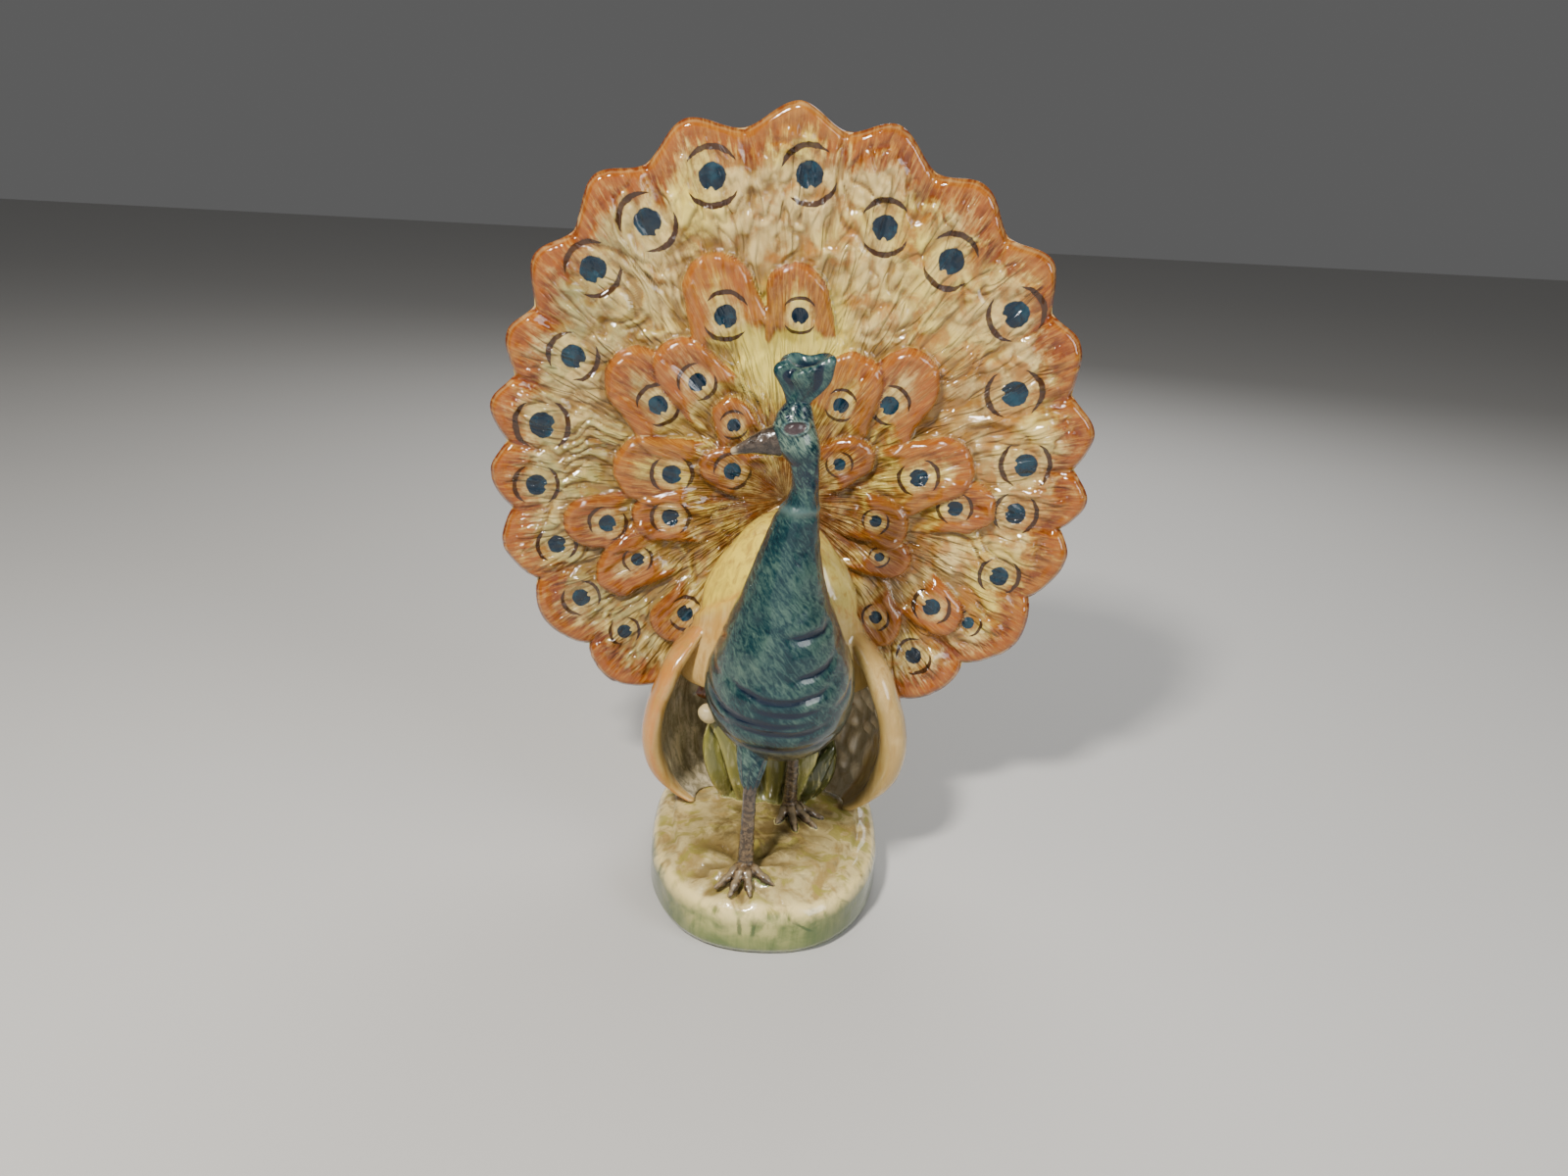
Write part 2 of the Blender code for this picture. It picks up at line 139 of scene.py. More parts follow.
# %% [markdown]
# Arithmetic for modelling
# Everything below is worked out for whole arrays at once. A few small helpers do most of it: a
# smooth step and a bell curve, a smooth curve through a few rows of sizes, a repeatable noise,
# and a blur that tells hollows from crests.

# %% Steps, curves and noise


def step(low, high, value):
    """The smooth step: t = (value - low) / (high - low) held in 0 to 1, then t t (3 - 2 t)."""
    t = np.clip((value - low) / (high - low), 0, 1)
    return t * t * (3 - 2 * t)


def bump(value, middle, width):
    """The bell curve exp(-((value - middle) / width) squared)."""
    return np.exp(-(((value - middle) / width) ** 2))


def curve(rows, count):
    """Rows of numbers turned into count rows, on Catmull-Rom cubics through the given ones."""
    rows = np.asarray(rows, float)
    padded = np.vstack((2 * rows[0] - rows[1], rows, 2 * rows[-1] - rows[-2]))
    place = np.linspace(0, len(rows) - 1, count)
    first = np.minimum(place.astype(int), len(rows) - 2)
    t = (place - first)[:, None]
    a, b, c, d = (padded[first + k] for k in range(4))
    return b + t / 2 * (c - a + t * (2 * a - 5 * b + 4 * c - d + t * (3 * (b - c) + d - a)))


def turns(sides):
    """The angles of the points round a ring, in one row, from 0 up to a full turn."""
    return np.arange(sides)[None, :] / sides * 2 * math.pi


def noise(x, y, seed=0):
    """Value noise, -1 to 1: a hash of the four lattice corners, blended by smooth steps."""
    x, y = np.broadcast_arrays(np.asarray(x, float), np.asarray(y, float))
    left, below = np.floor(x), np.floor(y)
    across, up = x - left, y - below
    across, up = across**2 * (3 - 2 * across), up**2 * (3 - 2 * up)

    def corner(i, j):
        mixed = np.sin((left + i) * 127.1 + (below + j) * 311.7 + seed * 74.7) * 43758.5453
        return (mixed - np.floor(mixed)) * 2 - 1

    low_side = corner(0, 0) * (1 - across) + corner(1, 0) * across
    high_side = corner(0, 1) * (1 - across) + corner(1, 1) * across
    return low_side * (1 - up) + high_side * up


def rough(x, y, seed=0, octaves=3):
    """Several noises added, each twice as fine and half as high as the one before."""
    total = sum(noise(x * 2**k, y * 2**k, seed + 13 * k) / 2**k for k in range(octaves))
    return total / (2 - 2.0 ** (1 - octaves))


def blurred(field, cells):
    """A square grid of heights averaged over a window, by running sums along both ways."""
    for axis in (0, 1):
        edges = [(0, 0), (0, 0)]
        edges[axis] = (cells + 1, cells)
        total = np.cumsum(np.pad(field, edges, mode="edge"), axis=axis)
        ahead = np.take(total, np.arange(2 * cells + 1, total.shape[axis]), axis=axis)
        behind = np.take(total, np.arange(0, total.shape[axis] - 2 * cells - 1), axis=axis)
        field = (ahead - behind) / (2 * cells + 1)
    return field


print("noise at a few places", rough(np.arange(3) * 0.37, np.zeros(3)).round(3))

# %% [markdown]
# From arrays to closed skins
# Each form is a closed skin. Most are lofts: rings of points from a start pole to an end pole.
# A skin carries attributes beside its points. The paints read them, so that a dark stroke lies
# exactly in its groove and an orange tip exactly on its feather.

# %% Skins and their attributes
ATTRIBUTES = ("stroke", "wash", "tint", "shade")
# The place, in eye radii, that the feather map gives to whatever is not on a feather
NO_EYE = 50.0
PIECES = []


def skin(name, points, faces, paint, marks=None, eyes=None):
    """A mesh object from points in millimetres, faces, and an attribute value for each point.

    Faces are turned outwards: the sum over triangles of a . (b x c) is positive when they are.
    """
    mesh = bpy.data.meshes.new(name)
    mesh.from_pydata(np.asarray(points) * MM, [], faces)
    mesh.calc_loop_triangles()
    corners = np.empty(len(mesh.loop_triangles) * 3, np.int32)
    mesh.loop_triangles.foreach_get("vertices", corners)
    a, b, c = np.moveaxis(np.asarray(points)[corners.reshape(-1, 3)], 1, 0)
    outward = (a * np.cross(b, c)).sum() > 0
    mesh.materials.append(bpy.data.materials.get(paint) or bpy.data.materials.new(paint))
    for mark in ATTRIBUTES:
        layer = mesh.attributes.new(mark, "FLOAT", "POINT")
        values = np.broadcast_to(np.asarray((marks or {}).get(mark, 0.0), float), len(points))
        layer.data.foreach_set("value", np.ascontiguousarray(values, np.float32))
    part = mesh.attributes.new("part", "INT", "FACE")
    part.data.foreach_set("value", np.full(len(mesh.polygons), len(PIECES), np.int32))
    layer = mesh.uv_layers.new(name="feather")
    if eyes is None:
        eyes = np.full((len(mesh.loops), 2), NO_EYE)
    layer.data.foreach_set("uv", np.ascontiguousarray(eyes, np.float32).ravel())
    if not outward:
        mesh.flip_normals()
    mesh.shade_smooth()
    made = bpy.data.objects.new(name, mesh)
    bpy.context.scene.collection.objects.link(made)
    PIECES.append(made)


def ring_faces(rings, sides):
    """Faces of a loft with sides points a ring: quads between rings, and triangles to two poles.

    The poles' numbers follow the rings' points: rings * sides, then one more.
    """
    ring, side = np.meshgrid(np.arange(rings - 1), np.arange(sides), indexing="ij")
    after = (side + 1) % sides
    quads = np.stack((ring * sides + side, ring * sides + after,
                      (ring + 1) * sides + after, (ring + 1) * sides + side), -1).reshape(-1, 4)
    side = np.arange(sides)
    after = (side + 1) % sides
    first = np.stack((np.full(sides, rings * sides), after, side), -1)
    last = (rings - 1) * sides
    second = np.stack((np.full(sides, rings * sides + 1), last + side, last + after), -1)
    return quads.tolist() + first.tolist() + second.tolist()


def loft(name, rings, paint, marks=None, start=None, end=None):
    """A closed skin through an array of rings; each pole is its end ring's middle unless given."""
    rings = np.asarray(rings, float)
    count, sides, _ = rings.shape
    start = rings[0].mean(0) if start is None else np.asarray(start, float)
    end = rings[-1].mean(0) if end is None else np.asarray(end, float)
    points = np.vstack((rings.reshape(-1, 3), start, end))
    faces = ring_faces(count, sides)
    full = {}
    for mark, value in (marks or {}).items():
        value = np.broadcast_to(np.asarray(value, float), (count, sides))
        full[mark] = np.concatenate((value.ravel(), (value[0].mean(), value[-1].mean())))
    skin(name, points, faces, paint, full)


def plate(name, outer, inner, paint, outer_marks, inner_marks):
    """A closed curved plate: two facing grids of points, joined round their four edges."""
    rows, steps, _ = outer.shape
    number = np.arange(rows * steps).reshape(rows, steps)
    faces = []
    for grid, turned in ((number, False), (number + rows * steps, True)):
        quads = np.stack((grid[:-1, :-1], grid[:-1, 1:], grid[1:, 1:], grid[1:, :-1]), -1)
        quads = quads.reshape(-1, 4)
        faces += (quads[:, ::-1] if turned else quads).tolist()
    edge = np.concatenate((number[0, :-1], number[:-1, -1], number[-1, :0:-1], number[:0:-1, 0]))
    after = np.roll(edge, -1)
    faces += np.stack((after, edge, edge + rows * steps, after + rows * steps), -1).tolist()
    points = np.vstack((outer.reshape(-1, 3), inner.reshape(-1, 3)))
    marks = {}
    for mark in ATTRIBUTES:
        halves = [np.broadcast_to(np.asarray(m.get(mark, 0.0), float), (rows, steps)).ravel()
                  for m in (outer_marks, inner_marks)]
        marks[mark] = np.concatenate(halves)
    skin(name, points, faces, paint, marks)


def tube(name, route, radii, paint, rows, sides, relief=None, marks=None, squash=1.0):
    """A round-ended limb: a circle carried along a smooth route, with an optional relief.

    Each point is the route's point + radius * (cos a * side + squash * sin a * top). The last
    rings close as a quarter of an ellipse, so the ends are round.
    """
    line = curve(np.column_stack((route, radii)), rows)
    path, radius = line[:, :3], line[:, 3]
    ahead = np.gradient(path, axis=0)
    ahead /= np.linalg.norm(ahead, axis=1)[:, None]
    guide = (0.0, 0.0, 1.0) if abs(ahead[:, 2]).mean() < 0.7 else (0.0, 1.0, 0.0)
    side = np.cross(ahead, guide)
    side /= np.linalg.norm(side, axis=1)[:, None]
    top = np.cross(side, ahead)
    run = np.concatenate(([0], np.cumsum(np.linalg.norm(np.diff(path, axis=0), axis=1))))
    for gap, end in ((run, radius[0]), (run[-1] - run, radius[-1])):
        near = np.clip(gap / (end * 0.8), 0, 1)
        radius = radius * np.sqrt(np.clip(1 - (1 - near) ** 2, 0.02, 1))
    angle = turns(sides)
    size = radius[:, None] + (relief(run[:, None], angle) if relief else 0.0)
    rings = path[:, None, :] + size[..., None] * (
        np.cos(angle)[..., None] * side[:, None, :]
        + squash * np.sin(angle)[..., None] * top[:, None, :])
    found = marks(run[:, None] + 0 * angle, angle + 0 * run[:, None]) if marks else None
    loft(name, rings, paint, found, start=path[0], end=path[-1])


print("attributes on every skin:", ", ".join(ATTRIBUTES))

# %% [markdown]
# The fanned train
# On the real figurine this is a shallow dish with a scalloped rim. Each scallop is the tip of one
# long feather, and twenty shorter feathers lie on it like thick petals, the inner ones over the
# outer. All point away from one hub behind the bird's neck. The dish could be built from separate
# feathers, but a cast has no gaps behind them, so it is made as one grid of heights. A square grid
# is bent into a disc, which keeps its cells nearly even, with no crowded pole in the middle.

# %% Sizes of the train
HUB = np.array((2.0, 34.0, 138.0))
DISH_DEPTH = 10.0
RIM_THICKNESS = 4.2
HUB_THICKNESS = 6.5
# Rim feathers: direction in degrees from straight up towards +X, and reach from the hub
RIM = np.array((
    (-139, 101), (-119, 106), (-101, 110), (-86, 112), (-73, 116), (-60, 120),
    (-47, 128), (-32, 136), (-17, 141), (-1, 142.5), (13, 140), (28, 134),
    (43, 130), (57, 122), (73, 117), (86, 113), (98, 109), (119, 106),
    (141, 97), (161, 88), (181, 83), (201, 88),
), float)
# The eyes painted near the rim, which need not lie on a scallop's middle: direction, distance, radius
RIM_EYES = np.array((
    (-132, 83, 2.9), (-118, 89, 3.3), (-103, 90, 3.5), (-88, 95, 4.0), (-74, 96, 4.6),
    (-57, 96, 4.4), (-41, 111, 4.5), (-28, 114, 4.8), (-15, 121, 4.8), (1, 119, 4.8),
    (16, 107, 4.5), (30, 107, 4.5), (46, 109, 4.3), (60, 94, 4.7), (77, 91, 4.5),
    (89, 87, 3.9), (106, 87, 3.6), (121, 86, 2.2), (138, 80, 3.0),
), float)
# Inner feathers: direction, distance of the eye from the hub, tip beyond the eye, eye's radius
INNER = np.array((
    (-20, 74, 23, 3.7), (1, 71, 19, 3.2), (-54, 61, 24, 3.5), (-38, 57, 19, 3.4),
    (-78, 45, 23, 3.4), (-36, 36, 11, 2.6), (-62, 24, 13, 3.2), (-99, 69, 17, 3.3),
    (-100, 45, 15, 3.2), (-114, 62, 18, 2.4), (-141, 60, 15, 2.7), (25, 43, 21, 2.9),
    (42, 54, 23, 3.4), (50, 25, 14, 2.3), (75, 51, 22, 3.4), (88, 64, 16, 3.0),
    (99, 35, 14, 2.2), (118, 42, 13, 2.0), (140, 58, 13, 2.3), (123, 70, 14, 3.0),
), float)
SCALLOP_DEPTH = 7.0
FAN_CELLS = 264
PETAL_RISE = 4.6
# The middle of the bent square lies this far above the hub
FAN_MIDDLE = 28.0
# Rings of the back: share of the way out to the rim, and distance behind the dish's front
BACK_RINGS = (
    (1.0, 1.3), (0.998, 2.6), (0.988, 3.6), (0.965, RIM_THICKNESS),
    (0.86, 4.6), (0.68, 5.0), (0.45, 5.6), (0.22, 6.2),
)
RIM_EDGE = 1.1


def rim_reach(degrees):
    """Distance from the hub to the rim, and place across its scallop, for directions in degrees.

    The scallops' tips lie on a smooth closed curve. From it each scallop falls towards its sides
    by its depth times a blend of a wave, at the top, and of a circle's edge, at the sides.
    """
    middles = RIM[:, 0]
    tips = np.concatenate((middles - 360, middles, middles + 360))
    wrapped = (degrees + 150) % 360 - 150
    after = np.searchsorted(tips, wrapped + 1e-9)
    nearest = np.where(wrapped - tips[after - 1] < tips[after] - wrapped, after - 1, after)
    toward = np.where(wrapped > tips[nearest], tips[np.minimum(nearest + 1, len(tips) - 1)],
                      tips[nearest - 1])
    across = np.abs(wrapped - tips[nearest]) / (np.abs(toward - tips[nearest]) / 2)
    smooth = np.interp(wrapped, tips, np.tile(RIM[:, 1], 3))
    upward = (1 + np.cos(np.radians(wrapped))) / 2
    wavy = (1 - np.cos(math.pi * across)) / 2
    cusped = 1 - np.sqrt(np.clip(1 - 0.97 * across**2, 0, 1))
    loss = SCALLOP_DEPTH * (upward * wavy + (1 - upward) * cusped)
    return smooth - loss, across * np.sign(wrapped - tips[nearest])


def disc_grid(cells):
    """A square grid bent into a disc: share of the way out, and turn round it in 0 to 1.

    With a and b in -1 to 1, the share is the larger of them, and the turn runs evenly along
    the square's side at that share.
    """
    a, b = np.meshgrid(np.linspace(-1, 1, cells + 1), np.linspace(-1, 1, cells + 1), indexing="ij")
    share = np.maximum(abs(a), abs(b))
    safe_a = np.where(a == 0, 1e-9, a)
    safe_b = np.where(b == 0, 1e-9, b)
    turn = np.where(abs(a) >= abs(b), b / safe_a / 8, 0.25 - a / safe_b / 8)
    turn = turn + np.where(np.where(abs(a) >= abs(b), a, b) < 0, 0.5, 0)
    return share, turn % 1.0


def rim_line(turn):
    """The rim's outline at a turn of 0 to 1, spaced evenly along its length: x and z from the hub."""
    degrees = np.linspace(-180, 180, 7201)
    reach, _ = rim_reach(degrees)
    x, z = reach * np.sin(np.radians(degrees)), reach * np.cos(np.radians(degrees))
    run = np.concatenate(([0], np.cumsum(np.hypot(np.diff(x), np.diff(z)))))
    place = turn * run[-1]
    return np.interp(place, run, x), np.interp(place, run, z)


def dish_depth(share):
    """Y of the dish's front, where share is the distance from the hub over the rim's distance."""
    return HUB[1] - DISH_DEPTH * share**2


print("rim feathers", len(RIM), "inner feathers", len(INNER), "grid cells", FAN_CELLS**2)

# %% [markdown]
# Relief on the train
# The modeller pressed three kinds of form into the clay: the thick petals with their rounded
# edges, the crowned scallops with grooves between them, and a restless flow of barbs in the
# ground between. Each is a height above the dish, and the highest one wins, so the inner petals
# overlap the outer ones as scales do.

# %% Heights of the petals, the scallops and the barbs


def feather_place(x, z, direction, distance):
    """Across and along a feather, in millimetres from its eye, for points from the hub."""
    d = math.radians(direction)
    across = x * math.cos(d) - z * math.sin(d)
    along = x * math.sin(d) + z * math.cos(d) - distance
    return across, along


def petal_height(x, z, number):
    """One inner feather: its height, how far it covers the ground, and millimetres inside its outline.

    The outline is round at the tip. The height rises in a quarter-round shoulder, with a raised
    bead and a hollow round the eye. Past the eye the feather sinks and dissolves in the ground.
    """
    direction, distance, tip, eye = INNER[number]
    across, along = feather_place(x, z, direction, distance)
    across = across + 1.6 * math.sin(number * 2.3) * np.clip(along / 9, -1.5, 1.5)
    width = 0.41 * tip + 4.0
    middle = tip - width * 1.02
    wobble = 0.9 * noise(along / 5, across / 5, number)
    round_end = np.hypot(across / width, (along - middle) / (tip - middle))
    straight = abs(across) / (width * (1 + 0.010 * np.clip(middle - along, 0, 14)))
    inside = (1 - np.where(along > middle, round_end, straight)) * width + wobble * 0.6
    quarter = np.clip(inside / 3.8, 0, 1)
    shoulder = np.sqrt(np.clip(1 - (1 - quarter) ** 2, 0, 1))
    fade = step(-0.60 * tip - 5, -1.0, along + 0.25 * abs(across) + 2.5 * noise(across / 3, along / 9, 7))
    rise = PETAL_RISE * (0.62 + 0.38 * tip / 24) * (0.25 + 0.75 * fade)
    bead = 0.3 * bump(inside, 2.8, 1.6) * step(-6, 6, along)
    hollow = 0.8 * np.exp(-(across**2 + along**2) / (eye * 2.3) ** 2)
    ribs = 0.20 * np.sin(across * 2.0 + 1.6 * noise(along / 7, across / 5, number + 40))
    dent = 0.6 * noise(across / 5 + 9, along / 7, number + 60)
    height = rise * shoulder + bead - hollow + (ribs + dent) * step(1, 4, inside)
    return height, fade * step(0.0, 0.7, inside), inside


def train_fields(x, z):
    """Height of the front above the dish, its owner, and the distances that the paints need.

    Owners from 0 are inner feathers. Owners from len(INNER) are eyes near the rim. The outer
    feathers are laid first and the inner ones over them.
    """
    rho, degrees = np.hypot(x, z), np.degrees(np.arctan2(x, z))
    reach, across_scallop = rim_reach(degrees)
    share = rho / reach
    inward = reach - rho
    ground = 2.2 * (1 - across_scallop**2) * step(0.55, 0.90, share) - 1.0
    ground -= 0.9 * bump(abs(across_scallop), 1.0, 0.16) * step(0.78, 0.92, share)
    ground += 0.75 * bump(inward, 3.4, 2.0) - 1.6 * step(2.2, 0.0, inward)
    swirl = rough(x / 24 + 3.1, z / 24, 5)
    outer = step(42, 78, rho)
    near = noise(degrees / 7.5 + 2.6 * swirl, rho / 21 + swirl, 8)
    far = noise(degrees / 3.6 + 4.2 * swirl, rho / 24 + 1.5 * swirl, 9)
    barbs = 2 * abs(near * (1 - outer) + far * outer) ** 0.8 - 0.8
    curls = 1 - 2.2 * abs(rough(x / 15 + 1.5 * swirl, z / 15 - swirl, 27, 2)) ** 0.8
    fine = noise(degrees / 1.2 + 3 * swirl, rho / 12, 17)
    lively = step(0.10, 0.25, share) * (1 - 0.72 * step(0.86, 0.98, share))
    ground += (1.25 * barbs + 0.15 * fine + 0.8 * rough(x / 12, z / 12, 23) + 0.9 * curls) * lively
    calm = np.zeros_like(x)
    nearest = np.full(x.shape, 1e9)
    owner = np.zeros(x.shape, int)
    for number, (direction, distance, radius) in enumerate(RIM_EYES):
        across, along = feather_place(x, z, direction, distance)
        away = np.hypot(across, along)
        owner = np.where(away < nearest, len(INNER) + number, owner)
        nearest = np.minimum(nearest, away)
        calm = np.maximum(calm, np.exp(-(away / (radius * 1.9)) ** 4))
        ground += 0.55 * bump(away, radius * 2.45, 1.5) * lively
    settled = 0.35 * np.exp(-(nearest / 9.0) ** 2)
    ground = ground * (1 - 0.75 * calm) + calm * settled
    height, inside, covered = ground, np.full(x.shape, -5.0), np.zeros(x.shape)
    for number in np.argsort(-INNER[:, 1]):
        petal, cover, margin = petal_height(x, z, number)
        height = height + (petal + 0.35 * np.clip(height, -1, 4) - height) * cover
        covered = np.maximum(covered, cover)
        owner = np.where(cover > 0.5, number, owner)
        inside = np.where(cover > 0.02, margin, inside)
    return height, owner, inside, inward, share, covered


def owner_place(x, z, owner):
    """Place of each point about its owner's eye, in eye radii: across, and out from the hub."""
    everyone = np.vstack((INNER[:, (0, 1, 3)], RIM_EYES))
    direction, distance, radius = np.moveaxis(everyone[owner], -1, 0)
    d = np.radians(direction)
    across = x * np.cos(d) - z * np.sin(d)
    along = x * np.sin(d) + z * np.cos(d) - distance
    lean = 0.65 * noise(owner * 1.7, owner * 0.9, 12)
    radius = radius * (1 + 0.10 * noise(owner * 2.9, owner * 1.3, 4))
    turned = across * np.cos(lean) + along * np.sin(lean), along * np.cos(lean) - across * np.sin(lean)
    return turned[0] / radius, turned[1] / (radius * (1 - 0.06 * noise(owner * 0.7, owner * 3.3, 6)))


print("a petal's height at its eye", petal_height(np.array(0.0), INNER[1, 1], 1)[0].round(2), "mm")

# %% [markdown]
# The grid of heights becomes a closed skin: the bent square in front, a rounded rim, and a plain
# back in a few wide rings. The paints need to know more than the height. Wash settles in hollows,
# so it follows how far a point lies below its surroundings. The orange follows the tips.

# %% The train's skin


def train_marks(height, inside, inward, covered):
    """Attributes of the train: wash in the hollows, and the place between a tip and its root."""
    hollow = (blurred(height, 3) - height) / 0.45
    wide = (blurred(height, 10) - height) / 1.4
    wash = np.clip(0.55 * hollow + 0.6 * wide, -0.3, 1.4)
    petal_tip, rim_tip = 1 - inside / 9.0, 1 - inward / 19.0
    return wash, rim_tip + (petal_tip - rim_tip) * covered


def make_train():
    """The dish: front grid, rounded rim, and back rings that close on a pole behind the hub."""
    share, turn = disc_grid(FAN_CELLS)
    outline_x, outline_z = rim_line(turn)
    x = outline_x * share
    z = FAN_MIDDLE + (outline_z - FAN_MIDDLE) * share
    height, owner, inside, inward, reach_share, covered = train_fields(x, z)
    wash, tip = train_marks(height, inside, inward, covered)
    front = np.stack((HUB[0] + x, dish_depth(reach_share) - height, HUB[2] + z), -1)
    size = FAN_CELLS + 1
    number = np.arange(size * size).reshape(size, size)
    quads = np.stack((number[:-1, :-1], number[1:, :-1], number[1:, 1:], number[:-1, 1:]), -1)
    quads = quads.reshape(-1, 4)
    edge = np.concatenate((number[:-1, 0], number[-1, :-1], number[:0:-1, -1], number[0, :0:-1]))
    rim = front.reshape(-1, 3)[edge]
    hub_line = np.array((HUB[0], 0.0, HUB[2] + FAN_MIDDLE))
    rings = []
    for span, behind in BACK_RINGS:
        ring = hub_line + (rim - hub_line) * span
        gap = np.hypot(ring[:, 0] - HUB[0], ring[:, 2] - HUB[2])
        reach, side = rim_reach(np.degrees(np.arctan2(ring[:, 0] - HUB[0], ring[:, 2] - HUB[2])))
        crest = (1 - side**2) * step(0.5, 0.9, gap / reach)
        ring[:, 1] = dish_depth(np.minimum(gap / reach, 1)) + behind - crest * (span < 1)
        rings.append(ring)
    rings[0][:, 1] = rim[:, 1] + RIM_EDGE
    count = len(edge)
    back = np.vstack(rings)
    start = size * size
    lines = np.vstack((edge, start + np.arange(len(back)).reshape(len(rings), count)))
    after = np.roll(lines, -1, axis=1)
    sides = np.stack((lines[:-1], lines[1:], after[1:], after[:-1]), -1).reshape(-1, 4)
    pole = np.array([[HUB[0], HUB[1] + HUB_THICKNESS - DISH_DEPTH * 0.05, HUB[2] + FAN_MIDDLE]])
    cap = np.stack((lines[-1], np.full(count, start + len(back)), after[-1]), -1)
    points = np.vstack((front.reshape(-1, 3), back, pole))
    corners = np.stack((x, z), -1).reshape(-1, 2)[quads]
    middle = corners.mean(1)
    face_owner = train_fields(middle[:, 0], middle[:, 1])[1]
    eye_x, eye_z = owner_place(corners[..., 0], corners[..., 1],
                               np.repeat(face_owner[:, None], 4, axis=1))
    eyes = np.stack((eye_x, eye_z), -1).reshape(-1, 2)
    others = np.full((len(sides) * 4 + len(cap) * 3, 2), NO_EYE)
    tail = np.zeros(len(back) + 1)
    petal_tone = noise(owner * 7.3, owner * 3.1, 3)
    marks = {
        "wash": np.concatenate((wash.ravel(), tail + 0.25)),
        "stroke": np.concatenate((tip.ravel(), tail - 1.0)),
        "tint": np.concatenate((covered.ravel(), tail)),
        "shade": np.concatenate((petal_tone.ravel(), tail)),
    }
    faces = quads.tolist() + sides.tolist() + cap.tolist()
    skin("train", points, faces, "train_glaze", marks, np.vstack((eyes, others)))
    print("train", len(faces), "faces, front", size, "by", size, "points")


make_train()

# %% [markdown]
# The breast and neck
# The bird's front is one pear that narrows into the neck. It could be sculpted from a subdivided
# cage, but a loft through level ovals keeps every size readable. The long curved cuts that
# the modeller drew round the breast are grooves, and each groove carries a dark brush stroke.

# %% The body: level ovals, with curved grooves
MOUND_TOP = 27.0
# Height above the mound, middle x and y, half-width, half-depth
BODY = (
    (34.0, 4, -14, 4, 8), (35.5, 4, -14, 10, 19), (39, 4, -14, 18.5, 27.5), (45, 3.5, -14, 24.5, 33),
    (53, 3, -15, 27.2, 35.5), (62, 3, -17, 26.8, 34), (71, 3, -20, 24.3, 30),
    (84, 3, -24, 19.6, 24), (98, 3.2, -28, 14.4, 17.5), (113, 4, -31, 10.2, 11.6),
    (126, 5.9, -33, 7.4, 8.0), (132, 7.4, -34, 5.3, 6.4), (138, 8, -34.5, 4.4, 5.8),
    (147, 7, -35, 5.0, 5.8), (150, 7, -35, 4.2, 5.0),
)
# Curved cuts: three places on each, as degrees round from the front and height, then its depth
GROOVES = (
    ((-75, 63.5), (-30, 58.2), (26, 57.4), 0.9), ((-1, 88.3), (28, 87.8), (62, 89.5), 0.9),
    ((7, 73.5), (29, 75.0), (54, 78.5), 0.8), ((-44, 71), (-6, 66.0), (41, 69.6), 0.8),
    ((-35, 56.0), (-2, 53.4), (35, 55.6), 0.7), ((-63, 57.5), (-45, 54.0), (-28, 53.6), 0.6),
    ((-79, 71.5), (-62, 69.5), (-48, 69.6), 0.7), ((-20, 62.6), (4, 60.8), (30, 62.4), 0.4),
    ((38, 60.5), (58, 63.0), (76, 68.0), 0.5), ((-60, 49.5), (-10, 46.2), (48, 49.6), 0.5),
    ((60, 80.5), (75, 82.0), (90, 85.0), 0.6), ((-95, 78), (-80, 79), (-62, 82), 0.5),
)


def ovals(rows, count, sides):
    """Level ovals through rows of height, middle x, middle y, half-width and half-depth.

    A point at angle a from the front is (x + width sin a, y - depth cos a, height).
    """
    height, x, y, width, depth = (column[:, None] for column in curve(rows, count).T)
    angle = turns(sides)
    return np.stack((x + width * np.sin(angle), y - depth * np.cos(angle),
                     MOUND_TOP + height + 0 * angle), -1)


def swell(rings, relief):
    """Rings pushed outwards, level by level, from their own middles by a relief in millimetres."""
    out = rings - rings.mean(1, keepdims=True)
    out[..., 2] = 0
    size = np.linalg.norm(out, axis=-1, keepdims=True)
    return rings + out / np.maximum(size, 1e-6) * relief[..., None]


def turn_and_height(rings):
    """Each point's turn from the front about its ring's middle, and its height above the mound."""
    out = rings - rings.mean(1, keepdims=True)
    return np.arctan2(out[..., 0], -out[..., 1]), rings[..., 2] - MOUND_TOP


def groove_field(degrees, height):
    """Depth of the curved cuts, and the dark strokes in them, at degrees round and heights.

    Each cut follows the parabola through its three places, and tapers towards both ends.
    """
    depth, stroke = np.zeros_like(degrees), np.zeros_like(degrees)
    for number, ((a0, h0), (a1, h1), (a2, h2), deep) in enumerate(GROOVES):
        bend = np.polyfit((a0, a1, a2), (h0, h1, h2), 2)
        wave = 0.35 * noise(degrees / 9, degrees * 0, number)
        away = height - np.polyval(bend, np.clip(degrees, a0 - 4, a2 + 4)) - wave
        along = (degrees - a0) / (a2 - a0)
        taper = np.clip(4 * along * (1 - along), 0, 1) ** 0.6
        taper = np.where((along > 0) & (along < 1), taper, 0)
        depth = np.maximum(depth, 1.45 * deep * taper * bump(away, 0, 1.4))
        ridge = deep * 0.75 * taper * bump(away, 2.5, 1.7)
        depth = depth - np.where(ridge > 0.02, ridge, 0)
        stroke = np.maximum(stroke, taper * bump(away, 0.2, 0.9 + 0.9 * deep * taper))
    return depth, stroke


